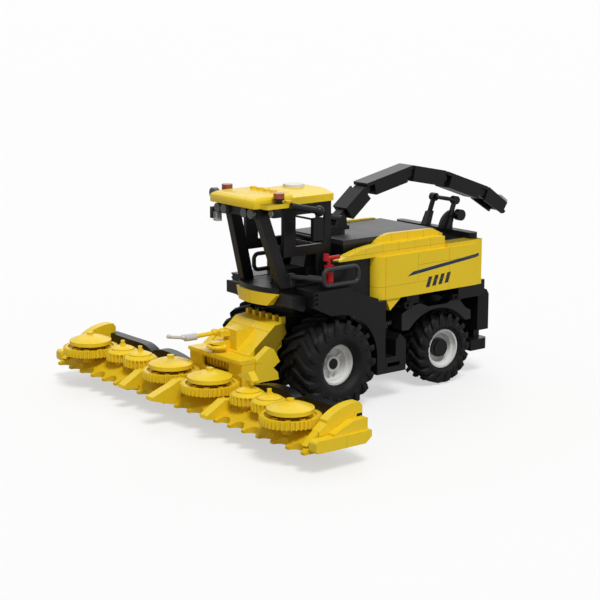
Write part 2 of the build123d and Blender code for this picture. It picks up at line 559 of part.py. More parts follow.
def side_mirror(arm_x):
    """Mirror plate hanging from a ball at the end of its bar."""
    ball = (arm_x + 4.6, -55.0, ROOF_Z - 4.0)
    shape = rod("x", (-76.5, ROOF_Z + 1.6), BAR_R - 0.1, (arm_x, arm_x + 2.2))
    shape += bar_between((arm_x + 2.6, -79.0, ROOF_Z + 1.6), ball, PIN_R)
    shape += Pos(*ball) * Sphere(4.0)
    shape += rod("z", (ball[0], ball[1] - 1.6), BAR_R, (ball[2] - 5.5, ball[2]))
    return shape + block((ball[0] - 1.6, ball[0] + 1.6), (ball[1] - 6.5, ball[1] + 2.5), (ball[2] - 21.0, ball[2] - 4.6))


def cab_inside():
    """Seat and steering column on the cab floor."""
    floor = CAB_FLOOR_Z
    seat = block((-8.0, 8.0), (-58.0, -42.0), (floor, floor + 9.6))
    seat += side((-8.0, 8.0), (-44.0, floor + 9.6), (-37.5, floor + 9.6), (-35.5, floor + 26.0), (-39.5, floor + 27.6))
    column = bar_between((0, -68.0, floor + 0.6), (0, -64.0, floor + 16.6), BAR_R)
    column += Pos(0, -64.0, floor + 17.0) * Rot(-14, 0, 0) * Cylinder(6.0, 2.0)
    return {"seat": seat, "steering_column": column}


def handrail_loop(x, y, z):
    """Round-cornered loop of bar in the plane at x."""
    centre = Pos((y[0] + y[1]) / 2, (z[0] + z[1]) / 2)
    loop = Plane.YZ.offset(x) * centre * RectangleRounded(y[1] - y[0], z[1] - z[0], 4.0)
    path = loop.face().outer_wire()
    section = Plane(origin=path.position_at(0), z_dir=path.tangent_at(0)) * Circle(BAR_R)
    return sweep(section, path=path)


def fittings():
    """Handrails, fire extinguisher, crossbar and spout cradle."""
    near = handrail_loop(PANEL_X, (-57.4, -25.2), (CAB_FLOOR_Z + 2.6, CAB_FLOOR_Z + 14.4))
    foot = block((CAB_X - 4.0, CAB_X), (-69.4, -64.4), (CAB_FLOOR_Z, CAB_FLOOR_Z + 9.4))
    near += foot + bar_between((CAB_X - 0.5, -67.0, CAB_FLOOR_Z + 7.0), (36.0, -62.0, CAB_FLOOR_Z + 7.3), 1.8)
    near += bar_between((36.0, -62.0, CAB_FLOOR_Z + 7.3), (PANEL_X, -57.4, CAB_FLOOR_Z + 7.6), 2.6)
    far = handrail_loop(-29.0, (-62.0, -31.0), (CAB_FLOOR_Z + 4.0, CAB_FLOOR_Z + 16.0))
    far += rod("x", (-31.0, CAB_FLOOR_Z + 10.0), BAR_R, (-WALL_X + WALL_T, -29.0))
    bottle_x = PANEL_X - BAR_R - 0.3 - 3.4
    bottle_z = CAB_FLOOR_Z + 2.0
    bottle = rod("z", (bottle_x, -48.4), 3.4, (bottle_z, bottle_z + 14.4))
    bottle += rod("z", (bottle_x, -48.4), 1.2, (bottle_z + 14.0, bottle_z + 19.0))
    bottle += rod("z", (bottle_x, -51.0), 2.0, (bottle_z + 18.0, bottle_z + 23.0))
    bottle += rod("y", (bottle_x, bottle_z + 19.6), 1.5, (-52.0, -39.0))
    return {"handrails": Compound([near, far]), "spout_cradle": cradle(), "extinguisher": bottle}


def cradle():
    """Crossbar with round ends on the lid, two posts, their top bar, a disc and a curved fin."""
    low = PANEL_Z1 + PLATE
    high = low + 4.6
    half = 40.5
    y = (PANEL_Y1 - 8.5, PANEL_Y1 - 0.5)
    mid = (y[0] + y[1]) / 2
    shape = plan((low, high), (-half, y[0]), (half, y[0]), ((half + 4.0, mid), (half, y[1])), (-half, y[1]),
                 ((-half - 4.0, mid), (-half, y[0])))
    top = (105.0, high + 21.0)
    waist = (100.6, high + 10.0)
    for s in (-1, 1):
        shape += post_between(((s * 12.0 - 2.9, s * 12.0 + 2.9), (mid - 2.9, mid + 2.9), high - 0.5),
                              ((s * 12.0 - 2.4, s * 12.0 + 2.4), (waist[0] - 2.4, waist[0] + 2.4), waist[1]))
        shape += bar_between((s * 12.0, waist[0], waist[1] - 0.5), (s * 12.0, *top), BAR_R + 0.4)
        shape += rod("x", top, 3.2, (s * 12.0 - 2.6, s * 12.0 + 2.6))
    shape += rod("x", top, BAR_R, (-12.0, 12.0))
    shape += rod("x", (106.0, high + 9.6), 4.4, (14.0, 19.0)) + rod("x", (104.0, high + 9.6), 2.0, (11.0, 15.0))
    shape += side((10.8, 13.2), (y[0] - 4.0, high - 0.3), (y[1] + 1.5, high - 0.3), (y[1] + 2.0, high + 13.6),
                  ((93.5, high + 10.1), (y[0] - 4.0, high - 0.3)))
    return shape


def gear(teeth, bore):
    """Gear ring of module 1 about the Z axis, with straight-sided teeth."""
    pitch_r = teeth / 2
    root = pitch_r - 1.2
    tip = pitch_r + 0.85
    step = 360 / teeth
    points = []
    for k in range(teeth):
        for r, half in ((root, 1.05 / root), (tip, 0.4 / tip)):
            points.append((r, radians(step * k) - half))
        for r, half in ((tip, 0.4 / tip), (root, 1.05 / root)):
            points.append((r, radians(step * k) + half))
    face = make_face(Polyline(*[(r * cos(a), r * sin(a)) for r, a in points], close=True))
    ring = extrude(Plane.XY.offset(GEAR_Z0) * face, amount=GEAR_H)
    return ring - rod("z", (0, 0), bore, (GEAR_Z0 - 1, GEAR_Z0 + GEAR_H + 1))


def big_rotor():
    """Wide dish on a crown of pegs, standing in the recess of its gear ring."""
    top = GEAR_Z0 + GEAR_H
    floor = top - RECESS_D
    dish_z = top + 2.0
    body = gear(BIG_TEETH, BORE_R) - rod("z", (0, 0), RECESS_R, (floor, top + 1))
    for k in range(CROWN_PEGS):
        angle = 2 * pi * k / CROWN_PEGS
        at = ((CROWN_R - PEG_R) * cos(angle), (CROWN_R - PEG_R) * sin(angle))
        body += rod("z", at, PEG_R, (floor - 1, dish_z + 1))
    body += rod("z", (0, 0), 5.0, (floor - 0.5, dish_z + 1))
    apex = dish_z + 7.0
    face = outline(Plane.XZ, (BORE_R, dish_z), [(BIG_DISH_R, dish_z), (BIG_DISH_R, dish_z + 2.8),
                                                ((9.0, apex - 1.5), (BORE_R, apex))])
    body += revolve(face, axis=Axis.Z)
    body += rod("z", (0, 0), STUD_R + 0.2, (apex - 1, apex + STUD_H))
    return body - rod("z", (0, 0), BORE_R, (GEAR_Z0 - 1, top + 1))


def small_rotor(with_plate):
    """Grooved dome on its gear ring, with a bar as a knob and, on one, a small tilted plate."""
    top = GEAR_Z0 + GEAR_H
    apex = top + 5.4
    knob_z = apex + 3.6
    body = gear(SMALL_TEETH, BORE_R)
    face = outline(Plane.XZ, (0, top), [(SMALL_DISH_R, top), (SMALL_DISH_R, top + 0.6), ((7.0, top + 4.0), (0, apex))])
    body += revolve(face, axis=Axis.Z)
    body -= rod("z", (0, 0), GROOVE_R + 0.8, (top + 2.0, apex)) - rod("z", (0, 0), GROOVE_R, (top + 1.0, apex + 1.0))
    body += rod("z", (0, 0), BAR_R, (apex - 1, knob_z)) + rod("z", (0, 0), STUD_R, (apex - 1, apex + 0.8))
    if with_plate:
        body += front((-3.0, 3.0), (-7.4, knob_z + 4.3), (3.2, knob_z + 7.6), (7.7, knob_z + 1.8), (-1.5, knob_z + 1.7))
        body += rod("z", (0, 0), BAR_R, (knob_z - 1, knob_z + 3.0))
    return body - rod("z", (0, 0), BORE_R, (GEAR_Z0 - 1, top + 1))


def rotor_table():
    """Name, x, y, kind and turn of each rotor."""
    half_step = 180 / SMALL_TEETH
    return [("rotor_1", -BIG_X, ROTOR_Y, "big", 0), ("rotor_2", -SMALL_X, SMALL_Y, "small", 0),
            ("rotor_3", -SMALL_IN_X, SMALL_Y, "small", half_step), ("rotor_4", -BIG_IN_X, BIG_IN_Y, "big", 0),
            ("rotor_5", BIG_IN_X, BIG_IN_Y, "big", 0), ("rotor_6", SMALL_IN_X, SMALL_Y, "plated", half_step),
            ("rotor_7", SMALL_X, SMALL_Y, "small", 0), ("rotor_8", BIG_X, ROTOR_Y, "big", 0)]


def comb():
    """Sloping front of the pan, cut into pointed teeth with curved sides."""
    back = COMB_Y + COMB_SLOPE
    tip = 1.8
    valley = COMB_PITCH / 2
    steps = [(-HEADER_X, COMB_Y), (tip - COMB_X, COMB_Y)]
    for k in range(int(2 * COMB_X / COMB_PITCH)):
        x = -COMB_X + COMB_PITCH * k
        far = x + COMB_PITCH
        steps.append(((x + tip + 2.0, COMB_Y + 4.2), (x + valley, COMB_Y + 5.5)))
        steps.append(((far - tip - 2.0, COMB_Y + 4.2), (far - tip, COMB_Y)))
        steps.append((far + tip, COMB_Y))
    steps += [(HEADER_X, COMB_Y), (HEADER_X, back)]
    teeth = solid_of(outline(Plane.XY.offset(COMB_Z), (-HEADER_X, back), steps), PAN_Z - COMB_Z, (0, 0, 1))
    return teeth & side((-HEADER_X, HEADER_X), (COMB_Y - 1, COMB_Z), (back, COMB_Z), (back, PAN_Z - 1.0),
                        (COMB_Y, COMB_Z + 1.8), (COMB_Y - 1, COMB_Z + 1.4))


def dividers(pan):
    """Three pointed snouts standing on the comb, cut to its slope; the outer two have a low shelf."""
    low = COMB_Z + 1.8
    shape = None
    # middle x, tip (y, z), shoulder (y, z), height at the back, length of the shelf
    table = [(0.0, (-176.9, 19.0), (-158.8, 25.3), 27.8, 0.0),
             (52.0, (-167.0, 15.4), (-156.5, 21.0), 24.0, 8.5),
             (-52.0, (-167.0, 15.4), (-156.5, 21.0), 24.0, 8.5)]
    for x, tip, shoulder, top, shelf in table:
        snout = side((x - 4.0, x + 4.0), (tip[0], tip[1] - 2.4), (COMB_Y, low), (DIVIDER_Y, low),
                     (DIVIDER_Y, top), (shoulder[0] + 5.0, top), shoulder, (tip[0] + 0.6, tip[1]))
        if shelf:
            snout += block((x - 4.0, x + 4.0), (DIVIDER_Y - 1.0, DIVIDER_Y + shelf), (low, GEAR_Z0 - 2 * PLAY))
        snout -= pan
        shape = snout if shape is None else shape + snout
    return shape


def header():
    """Rotors, the pan they turn on with its comb, dividers, ends and rear beam."""
    nodes = {}
    kinds = {"big": big_rotor(), "small": small_rotor(False), "plated": small_rotor(True)}
    pan = side((-HEADER_X, HEADER_X), (COMB_Y + COMB_SLOPE, COMB_Z), (BEAM_Y1, COMB_Z + 2.0), (BEAM_Y1, PAN_Z),
               (COMB_Y + COMB_SLOPE + 2.0, PAN_Z), (COMB_Y + COMB_SLOPE, PAN_Z - 1.0))
    pan += comb()
    snouts = dividers(pan)
    for name, x, y, kind, turn in rotor_table():
        nodes[name] = Pos(x, y, 0) * Rot(0, 0, turn) * kinds[kind]
        pan += rod("z", (x, y), 6.0, (PAN_Z - 4, GEAR_Z0 - PLAY))
        pan += rod("z", (x, y), PIN_R, (PAN_Z - 4, GEAR_Z0 + GEAR_H))
    nodes["header_pan"] = pan
    nodes["header_dividers"] = snouts
    nodes["header_ends"] = both_sides(header_end())
    low = PAN_Z
    high = BEAM_Z1
    beam = front((BEAM_Y0, BEAM_Y1), (HEADER_X - 4.0, low), (HEADER_X - 4.0, high), (104.0, high),
                 ((95.0, high - 1.0), (88.0, high - 4.0)), ((78.0, high - 0.6), (70.0, high)),
                 ((52.0, high - 1.6), (FEED_X + 4.0, high - 6.0)), (FEED_X + 4.0, low))
    nodes["header_beam"] = both_sides(beam)
    return nodes


def header_end():
    """Outer end of the header: curved fin, its plate, the wedge on it and the front point."""
    low = PAN_Z + PLAY
    rear = BEAM_Y0 - PLAY
    front_y = COMB_Y + COMB_SLOPE - 1.6
    inner = HEADER_X - 7.8
    shape = side((inner, HEADER_X), (front_y, low), (rear, low), (rear, BEAM_Z1 + PLAY), (rear + 4.8, BEAM_Z1 + PLAY),
                 (rear + 4.8, BEAM_Z1 + 4.8), (rear + 2.6, BEAM_Z1 + 7.6),
                 ((rear - 13.8, BEAM_Z1 + 5.6), (rear - 24.8, BEAM_Z1 - 0.4)), (rear - 25.0, BEAM_Z1 - 2.4),
                 (front_y, low + 3.0))
    plate_z0 = COMB_Z + 1.8
    outer = HEADER_X + PLAY
    wedge = side((outer, outer + 6.0), (front_y + 7.6, PAN_Z), (front_y + 7.6, PAN_Z + 1.4), (rear - 8.0, PAN_Z + 7.8),
                 (rear + 4.2, PAN_Z + 8.2), (rear + 4.2, PAN_Z))
    plate = side((outer, outer + 8.0), (front_y - 7.4, plate_z0), (rear + 1.0, plate_z0), (rear + 6.2, plate_z0 + 4.0),
                 (rear + 6.2, PAN_Z), (front_y - 7.0, PAN_Z),
                 ((front_y - 8.6, PAN_Z - 1.0), (front_y - 9.0, PAN_Z - 2.6)), (front_y - 9.0, plate_z0 + 1.6))
    point = side((inner + 1.0, HEADER_X - 1.0), (COMB_Y + 3.0, COMB_Z + 5.0), (front_y - PLAY, COMB_Z + 9.4),
                 (front_y - PLAY, PAN_Z + 3.0), (COMB_Y + 4.4, COMB_Z + 6.4))
    return shape + wedge + plate + point


def hood_line(y):
    """Height of the hood's sloping top at y."""
    return FEED_Z1 + 0.6 + (y - FEED_Y1 + 4.0) * HOOD_RISE / HOOD_RUN


def feeder():
    """Feeder house with its window, hood, side plates and clips, the roller and the arm."""
    hood_y0 = FEED_Y1 - 4.0
    hood_y1 = hood_y0 + HOOD_RUN
    rear = LIFT_Y - STUD
    crest = hood_line(hood_y1)
    tongue = LIFT_EAR_X - 0.4
    house = block((-FEED_X, FEED_X), (FEED_Y0, FEED_Y1), (PAN_Z + PLAY, FEED_Z1))
    house += block((-FEED_X, FEED_X), (FEED_Y0 - 1.6, FEED_Y0), (FEED_Z1 - 2.6, FEED_Z1))
    house += side((-HOOD_X, HOOD_X), (FEED_Y1 - 1.0, 24.0), (rear, LIFT_Z - 8.0), (rear, crest - 2.0),
                  (hood_y1, crest - 2.0), (FEED_Y1 - 1.0, FEED_Z1))
    house += side((-CAB_X, CAB_X), (hood_y0, hood_line(hood_y0) - 2.0), (hood_y0, hood_line(hood_y0)), (hood_y1, crest),
                  (rear, crest + 0.9), (rear, crest - 4.1), (hood_y1 + 1.0, crest - 5.0), (FEED_Y1, FEED_Z1 - 2.0))
    house += block((-tongue, tongue), (rear - 1.0, LIFT_Y), (LIFT_Z - 5.2, LIFT_Z + 5.2))
    house += rod("x", (LIFT_Y, LIFT_Z), EAR_R + 1.2, (-tongue, tongue))
    house += both_sides(feeder_flank(hood_y1, crest))
    for k in range(6):
        x = -2.5 * STUD + STUD * k
        house += block((x - 1.3, x + 1.3), (rear - 1.5, rear + 2.5), (crest - 0.4, crest + 4.6))
    house -= block((-20.0, 20.0), (ROLLER_Y - 7.0, ROLLER_Y + 5.4), (ROLLER_Z - 7.5, ROLLER_Z + 6.5))
    house -= block((-16.0, 16.0), (FEED_Y0 - 1.0, FEED_Y0 + 3.0), (ROLLER_Z - 3.5, ROLLER_Z + 3.9))
    house -= rod("x", (ROLLER_Y, ROLLER_Z), BORE_R, (-24.0, 24.0))
    house -= rod("x", (LIFT_Y, LIFT_Z), BORE_R, (-FEED_X, FEED_X))
    roller = rod("x", (ROLLER_Y, ROLLER_Z), PIN_R, (-23.6, 23.6)) + rod("x", (ROLLER_Y, ROLLER_Z), 3.6, (-19.6, 19.6))
    for k in range(9):
        x = -16.0 + 4.0 * k
        roller += rod("x", (ROLLER_Y, ROLLER_Z), ROLLER_R, (x - 0.9, x + 0.9))
    return {"feeder_house": house, "feed_roller": roller, "sensor_arm": sensor_arm()}


def feeder_flank(hood_y1, crest):
    """Flank of the hood and the plate outside it, on the left."""
    flank = side((HOOD_X, CAB_X), (FEED_Y1 - 1.0, 30.0), (-81.5, 34.6), (-81.0, 46.0), (-72.5, LIFT_Z + 2.5),
                 (LIFT_Y - STUD, crest - 3.0), (hood_y1, crest - 4.0), (FEED_Y1 - 1.0, FEED_Z1 - 1.0))
    plate = side((FEED_X - 4.0, FEED_X + 2.0), (FEED_Y1 - 5.5, 24.4), (-87.4, 24.4), (-88.3, 29.8), (-92.3, 33.5),
                 (-86.5, 37.5), (-91.9, 47.2), (-95.5, 49.0), (FEED_Y1 - 4.3, FEED_Z1 - 1.0))
    web = block((CAB_X, FEED_X - 4.0), (FEED_Y1 - 1.0, -92.5), (30.0, 38.0))
    return flank + plate + web


def sensor_arm():
    """Motor block on the hood with its bar and sleeve reaching forward."""
    top = LIFT_Z + 6.0
    box_y0 = FEED_Y0 + 3.0
    step_y = FEED_Y1 - 4.0 - PLAY
    base = FEED_Z1 + 5.2
    seat_y = FEED_Y1 - 4.0 + (base - FEED_Z1 - 0.6) * HOOD_RUN / HOOD_RISE
    motor_y0 = FEED_Y1 - 3.0
    motor_y1 = motor_y0 + 2 * STUD
    arm = side((-STUD, STUD), (motor_y0, hood_line(motor_y0)), (motor_y1, hood_line(motor_y1)), (motor_y1, top),
               (motor_y0, top))
    arm += side((-STUD, 0.0), (box_y0, FEED_Z1 + FIT), (step_y, FEED_Z1 + FIT), (step_y, hood_line(step_y)),
                (seat_y - PLAY, base), (seat_y + 3.0, hood_line(seat_y + 3.0)), (seat_y - 2.0, base + 2.5),
                (box_y0 - 3.5, base + 2.5), (box_y0 - 5.0, base + 1.6), (box_y0, base))
    arm += block((-STUD, 0.0), (motor_y0 - STUD, motor_y0 + 1.0), (top - 5.0, top - 1.0))
    arm += bar_between((-6.0, -110.0, top - 2.6), (-7.8, -132.0, top - 3.4), BAR_R)
    arm += bar_between((-7.6, -130.4, top - 3.4), (-8.2, -139.7, top - 3.4), 2.6)
    return arm + bar_between((-8.1, -139.0, top - 3.4), (-9.0, -154.0, top - 0.7), 1.2)


def segment_table():
    """Name, hinge (y, z), rise in degrees and length to the next hinge of each segment."""
    y = SWING_Y + 6.0
    z = HINGE_Z
    table = []
    # how far the next hinge lies behind and above
    for k, (run, rise) in enumerate([(24.4, 19.8), (45.0, 9.8), (35.2, -7.0), (43.4, -15.4), (22.3, -15.5)]):
        table.append((f"spout_{k + 1}", y, z, degrees(atan2(rise, run)), hypot(run, rise)))
        y += run
        z += rise
    return table


def spout_beam(length, body, height, cap, cheeks):
    """Segment lying along y from its hinge: body, lug, end ears and pin, cap plate or cheeks."""
    shell = block((-SPOUT_X, SPOUT_X) if cap else (-EAR_X1 - 0.2, EAR_X1 + 0.2), body, height)
    shell += rod("x", (0, 0), LUG_R, (-LUG_X, LUG_X)) + block((-LUG_X, LUG_X), (0, body[0] + 1.0), (-LUG_R, LUG_R))
    shell -= rod("x", (0, 0), BORE_R, (-LUG_X - 1, LUG_X + 1))
    if cap:
        shell += block((-SPOUT_X, SPOUT_X), cap, (height[1], height[1] + CAP_T))
    for s in (-1, 1):
        ear = sorted((s * EAR_X0, s * EAR_X1))
        shell += block(ear, (body[1] - 1.0, length), (-LUG_R, LUG_R)) + rod("x", (length, 0), LUG_R, ear)
        if cheeks:
            shell += block(sorted((s * (EAR_X1 + 0.2), s * SPOUT_X)), cheeks, height)
    return shell + rod("x", (length, 0), PIN_R, (-EAR_X1, EAR_X1))


def spout_hood(length):
    """Last segment: a hood that is open below, with a tile on top and a pin at its end."""
    top = 6.5
    roof_z = top - 3.0
    low = 4.0 - STUD
    hood = block((-SPOUT_X, SPOUT_X), (1.9, length), (roof_z, top))
    wall = side((EAR_X1 + 0.2, SPOUT_X), (1.9, roof_z), (length, roof_z), (length, low + 0.2), (3.2, low - 1.1))
    hood += wall + mirror(wall, about=Plane.YZ)
    hood += block((-SPOUT_X, SPOUT_X), (length - 3.0, length), (-1.6, top))
    hood += block((0.4 - SPOUT_X, SPOUT_X - 0.4), (length - 9.4, length - 0.6), (top - 1.0, top + 1.9))
    hood += rod("x", (0, 0), LUG_R, (-LUG_X, LUG_X)) + block((-LUG_X, LUG_X), (0, 6.0), (-LUG_R, LUG_R))
    hood += block((-LUG_X, LUG_X), (3.4, 6.0), (-LUG_R, top - 2.0))
    hood -= rod("x", (0, 0), BORE_R, (-LUG_X - 1, LUG_X + 1))
    for ear in ((EAR_X0 - 0.2, EAR_X1 + 0.2), (-EAR_X1 - 0.2, 0.2 - EAR_X0)):
        hood -= block(ear, (-1.0, LUG_R + 0.3), (-LUG_R - 3, LUG_R + 0.2))
    return hood + rod("y", (5.0, -0.4), BAR_R, (length - 1.0, length + 3.4))


def spout():
    """Turntable and five segments, hinged end to end."""
    nodes = {}
    base = DECK_Z + 3.0
    hinge_y = SWING_Y + 6.0
    turret = rod("z", (0, SWING_Y), 11.0, (DECK_Z + PLAY, DECK_Z + PLATE))
    turret += block((-SPOUT_X, SPOUT_X), (SWING_Y - 6.0, SWING_Y + 12.0), (base, base + 3.0))
    for s in (-1, 1):
        turret += side(sorted((s * EAR_X0, s * SPOUT_X)), (SWING_Y, base), (SWING_Y + 10.0, base),
                       (hinge_y + 3.4, HINGE_Z), ((hinge_y, HINGE_Z + 3.4), (hinge_y - 3.4, HINGE_Z)))
    turret += rod("x", (hinge_y, HINGE_Z), PIN_R, (-SPOUT_X, SPOUT_X))
    nodes["spout_turret"] = turret
    # body from and to, underside and top, cap plate from and to, cheeks from and to
    shapes = {"spout_1": ((7.5, 28.1), (-6.6, 4.7), None, (7.5, 29.6)),
              "spout_2": ((7.4, 40.0), (-5.6, 3.05), (0.0, 48.0), None),
              "spout_3": ((3.3, 32.6), (-6.4, 6.0), None, (1.9, 35.0)),
              "spout_4": ((6.0, 40.0), (-6.2, 3.1), (1.0, 47.4), None)}
    for name, y, z, rise, length in segment_table():
        shape = spout_beam(length, *shapes[name]) if name in shapes else spout_hood(length)
        nodes[name] = Pos(0, y, z) * Rot(rise, 0, 0) * shape
    return nodes


def place_check(nodes):
    """Print how far the model reaches along each axis."""
    box = Compound(list(nodes.values())).bounding_box()
    print("low", [round(v, 2) for v in box.min], "high", [round(v, 2) for v in box.max])


def main():
    os.makedirs("parts", exist_ok=True)
    nodes = {}
    for make in (chassis, axles, wheels, body_panels, fenders, cab, fittings, header, feeder, spout):
        nodes.update(make())
    nodes = {name: Pos(0, -MIDDLE_Y, -GROUND_Z) * shape for name, shape in nodes.items()}
    for name, shape in nodes.items():
        export_step(shape, f"parts/{name}.step")
    place_check(nodes)


main()
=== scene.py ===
"""Looks of a toy forage harvester of building bricks, dressed around its frame."""

from __future__ import annotations

import logging
import math
from dataclasses import dataclass
from enum import Enum
from typing import Any, Callable, Mapping, Sequence

import bpy
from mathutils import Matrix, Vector

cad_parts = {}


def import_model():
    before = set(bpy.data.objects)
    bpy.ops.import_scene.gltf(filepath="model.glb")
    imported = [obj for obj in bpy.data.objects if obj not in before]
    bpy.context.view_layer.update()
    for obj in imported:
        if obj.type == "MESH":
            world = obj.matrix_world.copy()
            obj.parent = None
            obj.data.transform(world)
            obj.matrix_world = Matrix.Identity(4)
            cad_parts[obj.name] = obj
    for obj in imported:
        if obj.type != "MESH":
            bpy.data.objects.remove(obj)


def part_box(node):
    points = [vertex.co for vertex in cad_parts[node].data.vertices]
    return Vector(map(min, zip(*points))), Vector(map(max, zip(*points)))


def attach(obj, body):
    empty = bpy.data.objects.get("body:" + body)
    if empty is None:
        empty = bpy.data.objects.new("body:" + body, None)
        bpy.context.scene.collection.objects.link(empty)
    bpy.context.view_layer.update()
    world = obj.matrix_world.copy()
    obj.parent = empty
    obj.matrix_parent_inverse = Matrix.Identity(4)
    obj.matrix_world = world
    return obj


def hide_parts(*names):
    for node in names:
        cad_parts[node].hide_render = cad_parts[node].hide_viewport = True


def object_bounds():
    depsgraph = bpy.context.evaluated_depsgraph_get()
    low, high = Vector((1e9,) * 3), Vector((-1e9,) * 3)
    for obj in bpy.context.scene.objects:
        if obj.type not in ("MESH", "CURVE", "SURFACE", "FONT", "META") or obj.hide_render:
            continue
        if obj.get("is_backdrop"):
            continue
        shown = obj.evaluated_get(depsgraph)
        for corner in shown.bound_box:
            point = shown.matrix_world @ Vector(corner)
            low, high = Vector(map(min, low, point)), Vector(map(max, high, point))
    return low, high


LOG = logging.getLogger("harvester")

Colour = tuple[float, float, float]
Point = tuple[float, float, float]
Box = tuple[Point, Point]

MM = 0.001  # metres in a millimetre
FAR = 1000.0  # millimetres, beyond the whole machine
TOUCH = 0.1  # millimetres, how near a face's vertices are looked for
SMOOTH_BELOW = 35.0  # degrees between two faces that are shaded as one
EDGE_STEPS = 2  # segments of a rounded edge

STUD = 8.0  # millimetres from one stud to the next
PLATE = 3.2  # millimetres, height of a plate
BRICK = 9.6  # millimetres, height of a brick

ORIGIN: Point = (0.0, 0.0, 0.0)
UPWARDS: Point = (0.0, 0.0, 1.0)
BACKWARDS: Point = (0.0, 1.0, 0.0)
FACING_SIDE: Point = (0.0, 90.0, 0.0)  # degrees that turn a disc's axis along X
FACING_FRONT: Point = (90.0, 0.0, 0.0)  # degrees that turn a disc's axis along Y


class Axis(Enum):
    """Axis of the machine that a seam is measured along."""

    X = 0
    Y = 1
    Z = 2


class Side(Enum):
    """Side of the machine or of a tyre, with the way out along X."""

    LEFT = 1
    RIGHT = -1

    @property
    def word(self) -> str:
        """The side as it stands in names."""
        return self.name.lower()


class End(Enum):
    """End of the machine, as it stands in names."""

    FRONT = "front"
    REAR = "rear"


class Wire:
    """A socket or a number in a material, with arithmetic that adds Math nodes."""

    def __init__(self, board: Board, value: Any) -> None:
        """Keep the board that new nodes go on and the socket or number."""
        self.board = board
        self.value = value

    def _math(self, operation: str, *values: Any) -> Wire:
        """Result of a Math node on wires or numbers."""
        return self.board.node("ShaderNodeMath", {"operation": operation}, dict(enumerate(values)))

    def __add__(self, other: Any) -> Wire:
        """This plus other."""
        return self._math("ADD", self, other)

    def __radd__(self, other: Any) -> Wire:
        """Other plus this."""
        return self._math("ADD", other, self)

    def __sub__(self, other: Any) -> Wire:
        """This minus other."""
        return self._math("SUBTRACT", self, other)

    def __rsub__(self, other: Any) -> Wire:
        """Other minus this."""
        return self._math("SUBTRACT", other, self)

    def __mul__(self, other: Any) -> Wire:
        """This times other."""
        return self._math("MULTIPLY", self, other)

    def __truediv__(self, other: Any) -> Wire:
        """This over other."""
        return self._math("DIVIDE", self, other)

    def __abs__(self) -> Wire:
        """Size without its sign."""
        return self._math("ABSOLUTE", self)

    def clamped(self) -> Wire:
        """Value kept between 0 and 1."""
        return self.most(0.0).least(1.0)

    def most(self, other: Any) -> Wire:
        """Larger of this and other."""
        return self._math("MAXIMUM", self, other)

    def least(self, other: Any) -> Wire:
        """Smaller of this and other."""
        return self._math("MINIMUM", self, other)


class Board:
    """Node tree of one material or of the world."""

    def __init__(self, owner: bpy.types.ID) -> None:
        """Start with no nodes.

        Args:
            owner: The new material or world.
        """
        self.owner = owner
        owner.use_nodes = True
        self.tree = owner.node_tree
        self.tree.nodes.clear()

    def node(self, kind: str, settings: Mapping[str, Any], sockets: Mapping[Any, Any],
             output: int | str = 0) -> Wire:
        """Add a node, set it and fill its sockets.

        Args:
            kind: The node's type.
            settings: Attributes, set first.
            sockets: Values or wires by the socket's name or number.
            output: Which output the result is.

        Returns:
            The chosen output.
        """
        made = self.tree.nodes.new(kind)
        for name, value in settings.items():
            setattr(made, name, value)
        for name, value in sockets.items():
            held = value.value if isinstance(value, Wire) else value
            if isinstance(held, bpy.types.NodeSocket):
                self.tree.links.new(held, made.inputs[name])
            else:
                made.inputs[name].default_value = held
        return Wire(self, made.outputs[output] if made.outputs else None)

    def places(self) -> tuple[Wire, list[Wire]]:
        """Object coordinates: the vector in metres, and its x, y and z in millimetres."""
        vector = self.node("ShaderNodeTexCoord", {}, {}, "Object")
        return vector, [self.node("ShaderNodeSeparateXYZ", {}, {0: vector}, k) / MM for k in range(3)]

    def noise(self, vector: Wire, waves: float, detail: float = 2.0) -> Wire:
        """Noise from 0 to 1 at a place, with its waves in a metre and its number of finer layers."""
        return self.node("ShaderNodeTexNoise", {}, {"Vector": vector, "Scale": waves, "Detail": detail})

    def blend(self, factor: Wire, first: Any, second: Any) -> Wire:
        """Colour between two others.

        Args:
            factor: 0 for the first, 1 for the second.
            first: A colour or a wire.
            second: A colour or a wire.

        Returns:
            The mixed colour.
        """
        settings = {"data_type": "RGBA", "blend_type": "MIX"}
        first = (*first, 1.0) if isinstance(first, tuple) else first
        second = (*second, 1.0) if isinstance(second, tuple) else second
        return self.node("ShaderNodeMix", settings, {0: factor, 6: first, 7: second}, 2)

    def ray(self, kind: str) -> Wire:
        """1 where the ray that arrives is of the named kind."""
        return self.node("ShaderNodeLightPath", {}, {}, f"Is {kind} Ray")

    def end(self, looks: Mapping[str, Any], height: Wire, strength: float, depth: float) -> None:
        """End a material in its shader, with a bump.

        Args:
            looks: The shader's other sockets.
            height: The bump's height, as a share of its depth.
            strength: How much of the bump shows, 0 to 1.
            depth: The bump's depth in metres.
        """
        bump = self.node("ShaderNodeBump", {}, {"Strength": strength, "Distance": depth, "Height": height})
        shader = self.node("ShaderNodeBsdfPrincipled", {}, {**looks, "Normal": bump})
        self.node("ShaderNodeOutputMaterial", {}, {"Surface": shader})


@dataclass(frozen=True)
class Seam:
    """Straight joint line between two bricks, seen as a thin groove; places in millimetres."""

    axis: Axis
    at: float
    across: Axis = Axis.Z
    low: float = -FAR
    high: float = FAR
    half_width: float = 0.2

    def mask(self, axes: Sequence[Wire]) -> Wire:
        """1 along the seam.

        Args:
            axes: The x, y and z of the place.

        Returns:
            The mask.
        """
        line = (1.0 - abs(axes[self.axis.value] - self.at) / self.half_width).clamped()
        across = axes[self.across.value]
        return line * (across - self.low).least(self.high - across).clamped()


